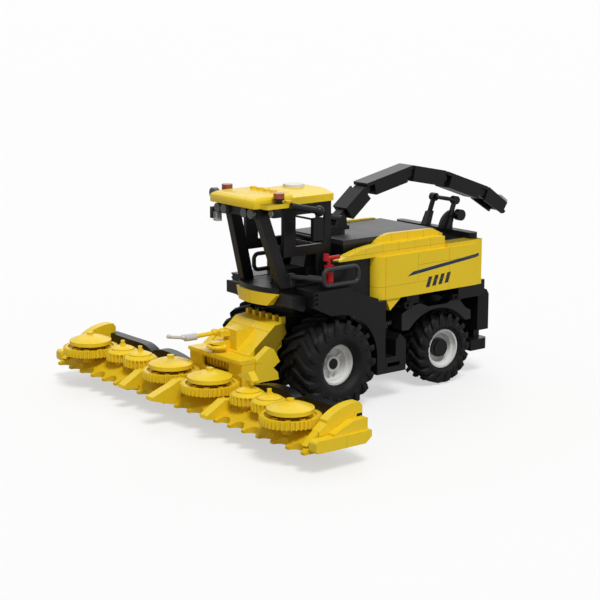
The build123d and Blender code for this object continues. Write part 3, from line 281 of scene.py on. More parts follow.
@dataclass(frozen=True)
class Zone:
    """Part of a piece between two parallel planes, in another colour; some zones are moulded colour and some
    are painted shade.

    The planes stand across a direction, low and high millimetres along it.
    """

    colour: Colour
    low: float = -FAR
    high: float = FAR
    across: Point = UPWARDS
    sharpness: float = 20.0

    def mask(self, axes: Sequence[Wire]) -> Wire:
        """1 inside the zone.

        Args:
            axes: The x, y and z of the place.

        Returns:
            The mask.
        """
        reach = axes[0] * self.across[0] + axes[1] * self.across[1] + axes[2] * self.across[2]
        above = ((reach - self.low) * self.sharpness).clamped()
        below = ((self.high - reach) * self.sharpness).clamped()
        return above * below


@dataclass(frozen=True)
class Patch:
    """Printed shape on the sides, bounded by straight lines from one (y, z) corner to the next.

    The corners go round with the inside on the left, and none of them turns inwards.
    """

    colour: Colour
    corners: tuple[tuple[float, float], ...]
    sharpness: float = 6.0

    def mask(self, axes: Sequence[Wire]) -> Wire:
        """1 inside the shape.

        Args:
            axes: The x, y and z of the place.

        Returns:
            The mask.
        """
        inside: Any = None
        ahead = self.corners[1:] + self.corners[:1]
        for (y0, z0), (y1, z1) in zip(self.corners, ahead):
            length = math.hypot(y1 - y0, z1 - z0)
            normal = ((z0 - z1) / length, (y1 - y0) / length)
            reach = axes[1] * normal[0] + axes[2] * normal[1] - (y0 * normal[0] + z0 * normal[1])
            inside = reach if inside is None else inside.least(reach)
        return (inside * self.sharpness).clamped()


Area = Zone | Patch


def linear(colour: Colour) -> Colour:
    """Turn a screen colour into the linear one that shaders use.

    Args:
        colour: Red, green and blue as seen on a screen, 0 to 1.

    Returns:
        The linear colour.
    """
    def one(level: float) -> float:
        """One channel, by the usual curve of screens."""
        return level / 12.92 if level <= 0.04045 else ((level + 0.055) / 1.055) ** 2.4

    return one(colour[0]), one(colour[1]), one(colour[2])


@dataclass(frozen=True)
class Plastic:
    """Moulded plastic of one colour: slightly uneven, with a fine peel and light scuffs.

    Waves are counted in a metre, the peel is a share of the bump's depth, and the slot, the name of another
    finish, is not used.
    """

    name: str
    colour: Colour
    slot: str = ""
    roughness: float = 0.28
    unevenness: float = 0.03
    clearness: float = 0.0
    sheen: float = 0.3
    refraction: float = 1.53
    scuffs: float = 0.04
    scuff_level: float = 0.66
    scuff_sharpness: float = 6.0
    haze: float = 0.06
    peel: float = 0.004
    tone_waves: float = 35.0
    haze_waves: float = 160.0
    scuff_waves: float = 420.0
    peel_waves: float = 900.0
    groove_shade: float = 0.3
    groove_roughness: float = 0.3
    bump_strength: float = 0.6
    bump_depth: float = 0.08 * MM

    def material(self, label: str = "", seams: Sequence[Seam] = (),
                 areas: Sequence[Area] = ()) -> bpy.types.Material:
        """Make the material, with grooves at the seams and other colours in the areas.

        Args:
            label: Added to the material's name.
            seams: Joint lines between bricks.
            areas: Parts in other colours.

        Returns:
            The finished material.
        """
        board = Board(bpy.data.materials.new(f"{self.name}_{label}" if label else self.name))
        vector, axes = board.places()
        base = linear(self.colour)
        dim = tuple(level * (1 - self.unevenness) for level in base)
        lit = tuple(min(1.0, level * (1 + self.unevenness)) for level in base)
        colour = board.blend(board.noise(vector, self.tone_waves), dim, lit)
        for area in areas:
            colour = board.blend(area.mask(axes), colour, linear(area.colour))
        specks = board.noise(vector, self.scuff_waves, detail=4.0) - self.scuff_level
        scuff = (specks * self.scuff_sharpness).clamped()
        haze = board.noise(vector, self.haze_waves) - 0.5
        rough = self.roughness + haze * self.haze + scuff * self.scuffs
        height = board.noise(vector, self.peel_waves, detail=1.0) * self.peel - scuff * self.peel
        if seams:
            groove = seams[0].mask(axes)
            for seam in seams[1:]:
                groove = groove.most(seam.mask(axes))
            colour = board.blend(groove, colour, tuple(level * self.groove_shade for level in base))
            rough = rough + groove * self.groove_roughness
            height = height - groove
        looks = {"Base Color": colour, "Roughness": rough, "IOR": self.refraction,
                 "Transmission Weight": self.clearness, "Specular IOR Level": self.sheen}
        board.end(looks, height, self.bump_strength, self.bump_depth)
        return board.owner


@dataclass(frozen=True)
class Rubber:
    """Black tyre rubber, dull and with a fine grain; waves are counted in a metre."""

    name: str = "tyre_rubber"
    colour: Colour = (0.074, 0.074, 0.075)
    shades: tuple[float, float] = (0.85, 1.2)
    roughness: float = 0.6
    haze: float = 0.16
    sheen: float = 0.2
    refraction: float = 1.5
    tone_waves: float = 60.0
    haze_waves: float = 240.0
    grain_waves: float = 2600.0
    bump_strength: float = 0.5
    bump_depth: float = 0.06 * MM

    def material(self) -> bpy.types.Material:
        """Make the material.

        Returns:
            The finished material.
        """
        board = Board(bpy.data.materials.new(self.name))
        vector, _ = board.places()
        dim, lit = (tuple(level * shade for level in linear(self.colour)) for shade in self.shades)
        colour = board.blend(board.noise(vector, self.tone_waves), dim, lit)
        rough = self.roughness + (board.noise(vector, self.haze_waves) - 0.5) * self.haze
        looks = {"Base Color": colour, "Roughness": rough, "IOR": self.refraction,
                 "Specular IOR Level": self.sheen}
        grain = board.noise(vector, self.grain_waves, detail=3.0)
        board.end(looks, grain, self.bump_strength, self.bump_depth)
        return board.owner


DARK_BLUE = (0.130, 0.220, 0.330)
VENT_GREY = (0.190, 0.200, 0.210)
SILVER = (0.800, 0.795, 0.785)
TILE_GREY = (0.660, 0.660, 0.650)
# Dark reddish brown painted into the big rotors' crowns, between the gear rim and the dish: painted shade of
# the recess.
CROWN_SHADE = (0.300, 0.130, 0.060)
NEAR_BLACK = (0.065, 0.065, 0.070)
# Dark brownish colour painted on the rotors below their gears: painted shade under the gears, over their
# shafts.
PAINTED_SHAFT_SHADE = (0.170, 0.150, 0.110)

YELLOW = Plastic("yellow_plastic", (0.935, 0.800, 0.150), sheen=0.22)
# Duller yellow of the header pan, darker than the yellow plastic: the dullness is its gloss, and the darker
# colour is painted shade of its front slopes.
SHADED_YELLOW = Plastic("dull_shaded_yellow_plastic", (0.880, 0.725, 0.120), roughness=0.42, sheen=0.08)
BLACK = Plastic("black_plastic", (0.072, 0.072, 0.076), roughness=0.34, unevenness=0.1, sheen=0.24)
# Lighter black of the rear fenders: painted sheen, for the light that their upper facets catch.
SHEEN_LIT_BLACK = Plastic("sheen_lit_black_plastic", (0.170, 0.172, 0.178), roughness=0.4, unevenness=0.08, sheen=0.3)
DARK_GREY = Plastic("dark_grey_plastic", (0.200, 0.203, 0.210), roughness=0.38, sheen=0.22)
LIGHT_GREY = Plastic("light_grey_plastic", (0.860, 0.860, 0.850), roughness=0.34)
SILVER_GREY = Plastic("silver_plastic", SILVER, "light_grey_plastic", roughness=0.3, sheen=0.6)
RED = Plastic("red_plastic", (0.720, 0.060, 0.080))
WHITE = Plastic("white_plastic", (0.900, 0.895, 0.880))
CLEAR_ORANGE = Plastic("clear_orange_plastic", (0.700, 0.370, 0.250), roughness=0.14, clearness=0.25)
CLEAR_SMOKE = Plastic("clear_smoke_plastic", (0.420, 0.425, 0.425), roughness=0.06, clearness=0.55, sheen=1.0)
CLEAR = Plastic("clear_plastic", (0.800, 0.805, 0.800), "clear_smoke_plastic", roughness=0.05,
                clearness=0.6, sheen=1.0)
TYRE = Rubber()


def dress(names: Sequence[str], finish: Plastic, label: str = "", seams: Sequence[Seam] = (),
          areas: Sequence[Area] = ()) -> None:
    """Give nodes of the frame one finish.

    Args:
        names: The nodes.
        finish: What they are made of.
        label: Added to the material's name.
        seams: Joint lines between bricks.
        areas: Parts in other colours.
    """
    material = finish.material(label, seams, areas)
    for name in names:
        piece = bpy.data.objects[name]
        piece.data.materials.clear()
        piece.data.materials.append(material)


def courses(axis: Axis, first: float, pitch: float, count: int, across: Axis = Axis.Z,
            low: float = -FAR, high: float = FAR) -> list[Seam]:
    """Evenly spaced seams along an axis, each reaching from low to high along the axis across."""
    return [Seam(axis, first + pitch * k, across, low, high) for k in range(count)]


def node_middle(node: str) -> Point:
    """Middle of a node's box, in metres."""
    low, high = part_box(node)
    return (low[0] + high[0]) / 2, (low[1] + high[1]) / 2, (low[2] + high[2]) / 2


def start_piece(name: str, add: Callable[..., Any], **where: Any) -> bpy.types.Object:
    """Add a primitive with nothing else selected and open it for editing.

    Args:
        name: The new object's name.
        add: The operator that adds it.
        where: What the operator is given.

    Returns:
        The object, in edit mode with all of it selected.
    """
    bpy.ops.object.select_all(action="DESELECT")
    add(**where)
    piece = bpy.context.active_object
    piece.name = name
    bpy.ops.object.mode_set(mode="EDIT")
    bpy.ops.mesh.select_all(action="SELECT")
    return piece


def pick(piece: bpy.types.Object, wanted: Callable[[Vector], bool]) -> None:
    """Select the vertices that a test names, and no others.

    Args:
        piece: The object in edit mode.
        wanted: The test, on a vertex's place.
    """
    bpy.ops.mesh.select_all(action="DESELECT")
    bpy.ops.object.mode_set(mode="OBJECT")
    for vertex in piece.data.vertices:
        vertex.select = wanted(vertex.co)
    bpy.ops.object.mode_set(mode="EDIT")


def draw_out(move: Sequence[float]) -> None:
    """Extrude what is selected by a step in metres."""
    bpy.ops.mesh.extrude_region_move(TRANSFORM_OT_translate={"value": tuple(move)})


def recess(piece: bpy.types.Object, wanted: Callable[[Vector], bool], wall: float, move: Point) -> None:
    """Sink the middle of a face and leave a wall round it.

    Args:
        piece: The object in edit mode.
        wanted: The test that picks the face's vertices.
        wall: Thickness of the wall in millimetres.
        move: The step into the piece in millimetres.
    """
    pick(piece, wanted)
    bpy.ops.mesh.inset(thickness=wall * MM)
    draw_out([step * MM for step in move])


def only(*pieces: bpy.types.Object) -> None:
    """Select some objects and nothing else.

    Args:
        pieces: The objects, of which the last becomes the active one.
    """
    bpy.ops.object.select_all(action="DESELECT")
    for piece in pieces:
        piece.select_set(True)
    bpy.context.view_layer.objects.active = pieces[-1]


def face_outwards() -> None:
    """Turn all faces of the mesh that is open for editing outwards."""
    bpy.ops.mesh.select_all(action="SELECT")
    bpy.ops.mesh.normals_make_consistent(inside=False)


def round_edges(piece: bpy.types.Object, width: float) -> None:
    """Bevel the sharp edges of the active piece.

    Args:
        piece: The object, in object mode.
        width: The bevel's width in millimetres.
    """
    rounding = piece.modifiers.new("edge", "BEVEL")
    rounding.width = width * MM
    rounding.segments = EDGE_STEPS
    rounding.limit_method = "ANGLE"
    bpy.ops.object.modifier_apply(modifier=rounding.name)


def shade_smooth(degrees: float = SMOOTH_BELOW) -> None:
    """Shade the selected objects smooth, except at edges that turn more than this."""
    bpy.ops.object.shade_smooth_by_angle(angle=math.radians(degrees))


def settle(piece: bpy.types.Object, finish: Plastic, body: str, edge: float = 0.0) -> None:
    """Put a new piece's place in its mesh, round its edges, dress it and hang it on its body.

    Args:
        piece: The object, in either mode.
        finish: What it is made of.
        body: The body that it rides on.
        edge: Width of the rounding in millimetres, 0 for none.
    """
    bpy.ops.object.mode_set(mode="OBJECT")
    only(piece)
    bpy.ops.object.transform_apply(location=True, rotation=True, scale=True)
    if edge:
        round_edges(piece, edge)
    shade_smooth()
    piece.data.materials.clear()
    piece.data.materials.append(finish.material(piece.name))
    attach(piece, body)


def box_piece(name: str, low: Point, high: Point) -> bpy.types.Object:
    """Add a box between two corners.

    Args:
        name: The new object's name.
        low: Its lowest corner in millimetres.
        high: Its highest corner in millimetres.

    Returns:
        The box, open in edit mode.
    """
    piece = start_piece(name, bpy.ops.mesh.primitive_cube_add, size=1.0)
    size = [(high[k] - low[k]) * MM for k in range(3)]
    middle = [(high[k] + low[k]) / 2 * MM for k in range(3)]
    bpy.ops.transform.resize(value=size, center_override=ORIGIN)
    bpy.ops.transform.translate(value=middle)
    return piece


def disc_piece(name: str, centre: Point, radius: float, depth: float, turn: Point = ORIGIN,
               sides: int = 32) -> bpy.types.Object:
    """Add a round disc.

    Args:
        name: The new object's name.
        centre: Its middle in millimetres.
        radius: Its radius in millimetres.
        depth: Its thickness in millimetres.
        turn: How its axis is turned from upright, in degrees about x, y and z.
        sides: How many sides its round has.

    Returns:
        The disc, open in edit mode.
    """
    where = tuple(value * MM for value in centre)
    angles = tuple(math.radians(value) for value in turn)
    return start_piece(name, bpy.ops.mesh.primitive_cylinder_add, vertices=sides, radius=radius * MM,
                       depth=depth * MM, location=where, rotation=angles)


@dataclass(frozen=True)
class TyreSize:
    """Sizes of one tyre in metres, about its own middle.

    Each lug station gives how far out it lies as a share of the half width, how far round as a
    share of the sweep, and its drop from the top and its height in millimetres. The lugs'
    rounding is in millimetres too.
    """

    radius: float
    width: float
    rim: float = 15.2 * MM
    bead_up: float = 0.2 * MM
    flat_share: float = 0.31
    lug_height: float = 3.2 * MM
    lug_width: float = 3.6 * MM
    lug_root: float = 4.4 * MM
    lug_gap: float = 0.5 * MM
    lug_rounding: float = 0.25
    sweep: float = 5.0 * MM
    lugs: int = 18
    stations: tuple[tuple[float, float, float, float], ...] = (
        (0.28, 0.60, 0.0, 4.4), (0.56, 0.0, 0.0, 4.4), (0.82, -0.62, 0.3, 4.4),
        (0.95, -0.95, 1.6, 4.6), (1.00, -1.10, 5.4, 4.0), (0.96, -1.15, 9.0, 2.0))

    @property
    def crown(self) -> float:
        """Radius of the carcass between its lugs."""
        return self.radius - self.lug_height

    def profile(self) -> list[tuple[float, float]]:
        """Half of the carcass, from the crown's edge to the bead.

        Returns:
            Its points: distance from the middle, and radius.
        """
        half, crown = self.width / 2, self.crown
        bead = self.rim + self.bead_up
        wall = crown - bead
        return [(half * 0.80, crown - 0.9 * MM), (half * 0.91, crown - 3.4 * MM),
                (half * 0.97, crown - 0.45 * wall), (half * 0.97, bead + 0.30 * wall),
                (half * 0.94, bead + 3.2 * MM), (half * 0.91, bead + 2.8 * MM),
                (half * 0.82, bead + 0.5 * MM), (half * 0.60, bead)]

    def lug_path(self) -> list[tuple[float, float, float, float]]:
        """Way of a lug from the middle of the tread down its shoulder.

        Returns:
            Its stations: distance from the middle, place along the turn, radius of the top, height.
        """
        half = self.width / 2
        top = math.sqrt(self.radius ** 2 - (self.sweep + self.lug_width / 2) ** 2)
        return [(self.lug_gap, self.sweep, top, self.lug_root)] + [
            (half * out, self.sweep * along, top - drop * MM, tall * MM)
            for out, along, drop, tall in self.stations]


@dataclass
class Wheels:
    """Four wheels: light grey rims in rubber tyres, with dark discs in the rear hubs.

    The hubs' sizes are in millimetres, and the weld and the bead's room in metres.
    """

    front: TyreSize = TyreSize(34.35 * MM, 34.0 * MM)
    rear: TyreSize = TyreSize(28.0 * MM, 26.0 * MM, sweep=4.4 * MM)
    segments: int = 72
    shoulder_smooth: float = 50.0
    weld: float = 0.001 * MM
    bead_room: float = 0.01 * MM
    hub_radius: float = 7.4
    hub_depth: float = 3.2
    hub_out: float = 4.6
    hub_wall: float = 1.1
    hub_hollow: float = 0.6
    hub_sides: int = 48

    def carcass(self, name: str, size: TyreSize) -> bpy.types.Object:
        """Closed ring of the tyre about the X axis, without its lugs.

        Args:
            name: The new object's name.
            size: The tyre's sizes.

        Returns:
            The ring, at the origin.
        """
        flat = size.width * size.flat_share
        ring = start_piece(name, bpy.ops.mesh.primitive_cylinder_add, vertices=self.segments,
                           radius=size.crown, depth=2 * flat, end_fill_type="NOTHING",
                           rotation=(0.0, math.pi / 2, 0.0))
        bpy.ops.object.mode_set(mode="OBJECT")
        bpy.ops.object.transform_apply(location=False, rotation=True, scale=False)
        bpy.ops.object.mode_set(mode="EDIT")
        for side in Side:
            at, radius = flat, size.crown
            pick(ring, lambda place: place.x * side.value > 0)
            for x, r in size.profile():
                draw_out((side.value * (x - at), 0.0, 0.0))
                bpy.ops.transform.resize(value=(1.0, r / radius, r / radius), center_override=ORIGIN)
                at, radius = x, r
        inner = size.profile()[-1][0]
        pick(ring, lambda place: (abs(abs(place.x) - inner) < self.bead_room
                                  and place.yz.length < size.rim + MM))
        bpy.ops.mesh.bridge_edge_loops()
        face_outwards()
        bpy.ops.object.mode_set(mode="OBJECT")
        shade_smooth(self.shoulder_smooth)
        return ring

    def lug(self, name: str, size: TyreSize, side: Side) -> bpy.types.Object:
        """One curved lug, drawn from the middle of the tread down its shoulder.

        Args:
            name: The new object's name.
            size: The tyre's sizes.
            side: The tyre's side that it runs out to.

        Returns:
            The lug, in object mode and selected.
        """
        out = side.value
        path = size.lug_path()
        x, y, top, height = path[0]
        lug = start_piece(name, bpy.ops.mesh.primitive_plane_add, size=1.0, rotation=(0.0, math.pi / 2, 0.0))
        bpy.ops.transform.resize(value=(1.0, size.lug_width, height), center_override=ORIGIN)
        bpy.ops.transform.translate(value=(out * x, y, top - height / 2))
        for x1, y1, top1, height1 in path[1:]:
            draw_out((out * (x1 - x), y1 - y, (top1 - height1 / 2) - (top - height / 2)))
            bpy.ops.transform.resize(value=(1.0, 1.0, height1 / height),
                                     center_override=(out * x1, y1, top1 - height1 / 2))
            x, y, top, height = x1, y1, top1, height1
        face_outwards()
        bpy.ops.object.mode_set(mode="OBJECT")
        round_edges(lug, size.lug_rounding)
        return lug

    def tread(self, name: str, size: TyreSize, side: Side) -> bpy.types.Object:
        """One row of curved lugs round the tyre, the right one half a step away from the left one.

        Args:
            name: The new object's name.
            size: The tyre's sizes.
            side: The tyre's side that the row is on.

        Returns:
            The row, at the origin.
        """
        row = self.lug(name, size, side)
        bpy.ops.object.mode_set(mode="EDIT")
        bpy.ops.mesh.select_all(action="SELECT")
        if side is Side.RIGHT:
            half_step = math.pi / size.lugs
            bpy.ops.transform.rotate(value=half_step, orient_axis="X", center_override=ORIGIN)
        bpy.ops.mesh.spin(steps=size.lugs, dupli=True, angle=2 * math.pi, center=ORIGIN,
                          axis=(1.0, 0.0, 0.0))
        bpy.ops.mesh.select_all(action="SELECT")
        bpy.ops.mesh.remove_doubles(threshold=self.weld)
        bpy.ops.object.mode_set(mode="OBJECT")
        shade_smooth()
        return row

    def tyre(self, end: End, size: TyreSize) -> None:
        """Model one tyre and put a copy of it on the wheel of each side.

        Args:
            end: The end of the machine that the tyre is at.
            size: The tyre's sizes.
        """
        ring = self.carcass(f"rubber_{end.value}", size)
        rows = [self.tread(f"tread_{end.value}_{side.word}", size, side) for side in Side]
        only(*rows, ring)
        bpy.ops.object.join()
        ring.data.materials.clear()
        ring.data.materials.append(TYRE.material())
        spare = ring.copy()
        spare.data = ring.data.copy()
        bpy.context.collection.objects.link(spare)
        for side, piece in zip(Side, (spare, ring)):
            place = f"{end.value}_{side.word}"
            piece.name = f"treaded_tyre_{place}"
            only(piece)
            piece.location = node_middle(f"tyre_{place}")
            bpy.ops.object.transform_apply(location=True, rotation=False, scale=False)
            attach(piece, f"wheel_{place}")
            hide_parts(f"tyre_{place}")

    def hub(self, side: Side) -> None:
        """Dark hollowed disc in the hub of a rear wheel.

        Args:
            side: The side of the machine.
        """
        out = side.value
        x, y, z = (value / MM for value in node_middle(f"rim_rear_{side.word}"))
        disc = disc_piece(f"hub_disc_{side.word}", (x + out * self.hub_out, y, z), self.hub_radius,
                          self.hub_depth, FACING_SIDE, self.hub_sides)
        recess(disc, lambda spot: spot.z * out > 0, self.hub_wall, (-self.hub_hollow * out, 0.0, 0.0))
        settle(disc, DARK_GREY, f"wheel_rear_{side.word}", edge=0.2)

    def finish(self) -> None:
        """Model the tyres and hubs, and dress the rims and knuckles."""
        self.tyre(End.FRONT, self.front)
        self.tyre(End.REAR, self.rear)
        dress([f"rim_{end.value}_{side.word}" for end in End for side in Side], LIGHT_GREY)
        dress([f"knuckle_{side.word}" for side in Side], BLACK)
        for side in Side:
            self.hub(side)


@dataclass
class Body:
    """Frame, side panels, hood and the black blocks behind and below them, in millimetres.

    Corners and places are (y, z), and a name with an axis says where a row of seams begins.
    """

    panel_y: tuple[float, float] = (6.3, 105.2)
    panel_z: tuple[float, float] = (76.6, 108.9)
    band: tuple[tuple[float, float], ...] = ((27.0, 91.4), (102.0, 98.6), (102.0, 101.4), (33.0, 94.8))
    vents: int = 4
    vent_start: tuple[float, float] = (46.0, 80.8)
    vent_size: tuple[float, float] = (4.0, 8.2)
    vent_lean: float = 3.0
    vent_pitch: float = 6.4
    vent_rise: float = 0.4
    pin_places: tuple[tuple[float, float], ...] = ((28.3, 69.2), (78.0, 69.0))
    pin_x: float = 41.9
    pin_radius: float = 2.6
    pin_length: float = 11.0
    pin_wall: float = 0.8
    pin_hollow: float = 2.0
    pin_sides: int = 24
    hood_y: float = -10.0
    hood_seam_up: float = 1.0
    wall_top_up: float = 0.05
    deck_y: float = -14.0
    tail_z: float = 28.0
    tail_x: float = -32.0
    arch_z: float = 30.0
    arch_y: float = -4.5
    steps_y: float = 46.5
    fenders_y: float = 62.5

    def stripe(self) -> list[Area]:
        """Blue band and slanted grey vents printed on the side panels.

        Returns:
            Their shapes.
        """
        areas: list[Area] = [Patch(DARK_BLUE, self.band)]
        wide, tall = self.vent_size
        lean = self.vent_lean
        for k in range(self.vents):
            y = self.vent_start[0] + self.vent_pitch * k
            z = self.vent_start[1] + self.vent_rise * k
            corners = ((y, z), (y + wide, z), (y + wide + lean, z + tall), (y + lean, z + tall))
            areas.append(Patch(VENT_GREY, corners))
        return areas

    def fender_pin(self, number: int, side: Side) -> None:
        """Hollow pin that stands out over a rear fender.

        Args:
            number: Which of the fender's pins it is.
            side: The side of the machine.
        """
        out = side.value
        y, z = self.pin_places[number]
        pin = disc_piece(f"fender_pin_{side.word}_{number}", (out * self.pin_x, y, z), self.pin_radius,
                         self.pin_length, FACING_SIDE, self.pin_sides)
        recess(pin, lambda spot: spot.z * out > 0, self.pin_wall, (-self.pin_hollow * out, 0.0, 0.0))
        settle(pin, BLACK, "chassis", edge=0.25)

    def finish(self) -> None:
        """Add the fenders' pins and dress the body's pieces."""
        for side in Side:
            for number in range(len(self.pin_places)):
                self.fender_pin(number, side)
        y0, y1 = self.panel_y
        z0, z1 = self.panel_z
        front, back = y0 + 4 * STUD, y0 + 8 * STUD
        panel = [Seam(Axis.Y, front, Axis.Z, z0 + BRICK, z1), Seam(Axis.Y, back),
                 Seam(Axis.Z, z0 + BRICK, Axis.Y, self.hood_y, back),
                 Seam(Axis.Z, z1 - BRICK, Axis.Y, front, y1)]
        dress(("side_panels",), YELLOW, "sides", panel, self.stripe())
        hood = courses(Axis.Y, self.hood_y, 2 * STUD, 5, Axis.Z, z1 + self.hood_seam_up)
        dress(("hood_ridges",), YELLOW, "hood", hood + [Seam(Axis.Z, z1 + PLATE)])
        wall = [Seam(Axis.X, 0.0), Seam(Axis.Z, z0 + BRICK), Seam(Axis.Z, z0 + 2 * BRICK)]
        dress(("rear_wall",), YELLOW, "rear", wall, [Zone(NEAR_BLACK, z1 + self.wall_top_up)])
        deck = courses(Axis.Y, self.deck_y, 4 * STUD, 3) + [Seam(Axis.X, 0.0)]
        dress(("top_deck",), DARK_GREY, "deck", deck)
        dress(("chassis_frame", "front_axle", "rear_axle", "body_core"), BLACK)
        dress(("side_walls",), BLACK, "walls", courses(Axis.Z, z0 + BRICK, BRICK, 3))
        tail = courses(Axis.Z, self.tail_z, BRICK, 5) + courses(Axis.X, self.tail_x, 2 * STUD, 5)
        dress(("rear_block",), BLACK, "tail", tail)
        arches = courses(Axis.Z, self.arch_z, BRICK, 5, Axis.Y, self.arch_y)
        dress(("front_fenders",), BLACK, "arches", arches)
        dress(("side_steps",), BLACK, "steps", courses(Axis.Y, self.steps_y, 2 * STUD, 4))
        # The rear fenders are a lighter black, as painted sheen.
        dress(("rear_fenders",), SHEEN_LIT_BLACK, "fenders", courses(Axis.Y, self.fenders_y, 2 * STUD, 2))


@dataclass
class Cab:
    """Cab with its roof, lamps, mirrors and seat, in millimetres.

    The dome's pairs are for its foot and top, the lamp bar's drops for its lower and upper face.
    """

    floor_z: float = 91.3
    roof_z: float = 151.3
    roof_break_y: float = -63.8
    dome_half: tuple[float, float] = (26.56, 20.0)
    dome_front: tuple[float, float] = (-99.06, -85.0)
    dome_rise: tuple[float, float] = (4.7, 8.5)
    dome_sink: float = 0.02
    dome_steps: int = 6
    lamp_bar_half: float = 23.0
    lamp_bar_y: tuple[float, float] = (-90.2, -86.0)
    lamp_bar_drop: tuple[float, float] = (7.0, 0.1)
    corner_lamp: tuple[float, float] = (31.0, -87.5)
    lamp_half: float = 3.2
    lamp_depth: float = 7.0
    lamp_wall: float = 0.5
    lamp_hollow: float = 0.8
    lens_y: float = 0.2
    lens_radius: float = 2.6
    lens_depth: float = 1.6
    lens_rim: float = 0.7
    marker_holder: Box = ((-29.5, -97.5, 138.5), (-25.4, -92.0, 147.0))
    marker_lens: Box = ((-25.5, -97.2, 137.0), (-20.4, -93.0, 143.8))
    marker_rim: float = 0.8
    marker_hollow: float = 0.5
    roof_seam_half: float = 26.5
    roof_seam_x: float = 24.0
    roof_ends_y: tuple[float, float] = (-110.0, -20.0)
    roof_corners_y: tuple[float, float] = (-99.0, -69.0)
    lamps_back_y: float = -91.6
    beacon_foot: float = 6.9

    def dome(self) -> None:
        """Rounded front half of the roof, over the plain slopes of the frame's roof."""
        half, top_half = self.dome_half
        front, top_front = self.dome_front
        back = self.roof_break_y
        low, high = (self.roof_z + rise for rise in self.dome_rise)
        dome = box_piece("roof_dome", (-half, front, self.roof_z - self.dome_sink), (half, back, low))
        pick(dome, lambda spot: spot.z > (low - TOUCH) * MM)
        wide, long, z = half, back - front, low
        for step in range(1, self.dome_steps + 1):
            turn = math.radians(90.0 / self.dome_steps * step)
            new_wide = top_half + (half - top_half) * math.cos(turn)
            new_long = (back - top_front) + (top_front - front) * math.cos(turn)
            new_z = low + (high - low) * math.sin(turn)
            draw_out((0.0, 0.0, (new_z - z) * MM))
            bpy.ops.transform.resize(value=(new_wide / wide, new_long / long, 1.0),
                                     center_override=(0.0, back * MM, new_z * MM))
            wide, long, z = new_wide, new_long, new_z
        settle(dome, YELLOW, "chassis", edge=0.25)

    def lamp(self, name: str, front: Point) -> None:
        """Square black lamp housing with a round clear lens, looking forwards.

        Args:
            name: Start of the names of its two pieces.
            front: Middle of the housing's front face.
        """
        x, y, z = front
        half = self.lamp_half
        housing = box_piece(f"{name}_housing", (x - half, y, z - half),
                            (x + half, y + self.lamp_depth, z + half))
        recess(housing, lambda spot: spot.y < (y + TOUCH) * MM, self.lamp_wall, (0.0, self.lamp_hollow, 0.0))
        settle(housing, BLACK, "chassis", edge=0.3)
        lens = disc_piece(f"{name}_lens", (x, y + self.lens_y, z), self.lens_radius, self.lens_depth,
                          FACING_FRONT)
        pick(lens, lambda spot: spot.z > 0)
        bpy.ops.mesh.inset(thickness=self.lens_rim * MM)
        settle(lens, CLEAR, "chassis", edge=0.3)

    def marker(self) -> None:
        """Marker lamp that hangs under the roof's front right corner."""
        holder = box_piece("marker_holder", *self.marker_holder)
        settle(holder, BLACK, "chassis", edge=0.4)
        lens = box_piece("marker_lens", *self.marker_lens)
        front = self.marker_lens[0][1]
        recess(lens, lambda spot: spot.y < (front + TOUCH) * MM, self.marker_rim,
               (0.0, self.marker_hollow, 0.0))
        settle(lens, CLEAR, "chassis", edge=0.3)

    def lamps(self) -> None:
        """Bar of the row of lamps, the two corner lamps and the marker lamp."""
        half = self.lamp_bar_half
        (front, back), (drop, gap) = self.lamp_bar_y, self.lamp_bar_drop
        bar = box_piece("lamp_bar", (-half, front, self.roof_z - drop), (half, back, self.roof_z - gap))
        settle(bar, BLACK, "chassis", edge=0.4)
        x, y = self.corner_lamp
        for side in Side:
            self.lamp(f"corner_lamp_{side.word}", (side.value * x, y, self.roof_z - self.lamp_half - gap))
        self.marker()

    def finish(self) -> None:
        """Add the rounded roof and the lamps, and dress the cab's pieces."""
        self.dome()
        self.lamps()
        half, across, middle = self.roof_seam_half, self.roof_seam_x, self.roof_break_y
        front, back = self.roof_ends_y
        roof = [Seam(Axis.Y, middle, Axis.X, -half, half),
                Seam(Axis.Z, self.roof_z + PLATE, Axis.Y, front, middle),
                Seam(Axis.X, 0.0, Axis.Y, middle, back),
                Seam(Axis.X, across, Axis.Y, *self.roof_corners_y),
                Seam(Axis.X, -across, Axis.Y, *self.roof_corners_y)]
        dress(("cab_roof",), YELLOW, "roof", roof)
        dress(("cab_bumper",), YELLOW, "bumper", [Seam(Axis.X, 0.0)])
        dress(("cab_wall", "cab_pillars"), BLACK, "cab", courses(Axis.Z, self.floor_z + BRICK, BRICK, 5))
        dress(("cab_base",), BLACK, "base", courses(Axis.Z, self.floor_z - 4 * PLATE, PLATE, 4))
        dress(("mirrors", "seat", "steering_column"), BLACK)
        dress(("roof_tile",), WHITE)
        frames = Zone(NEAR_BLACK, self.lamps_back_y, FAR, BACKWARDS)
        dress(("roof_lamps",), CLEAR_SMOKE, "lamps", (), [frames])
        feet = Zone(NEAR_BLACK, 0.0, self.roof_z + self.beacon_foot)
        dress(("beacons",), CLEAR_ORANGE, "beacons", (), [feet])


@dataclass
class Fittings:
    """Handrails, extinguisher and the spout's cradle."""

    def finish(self) -> None:
        """Dress the fittings."""
        dress(("handrails",), DARK_GREY, "rails")
        dress(("spout_cradle",), BLACK)
        dress(("extinguisher",), RED)


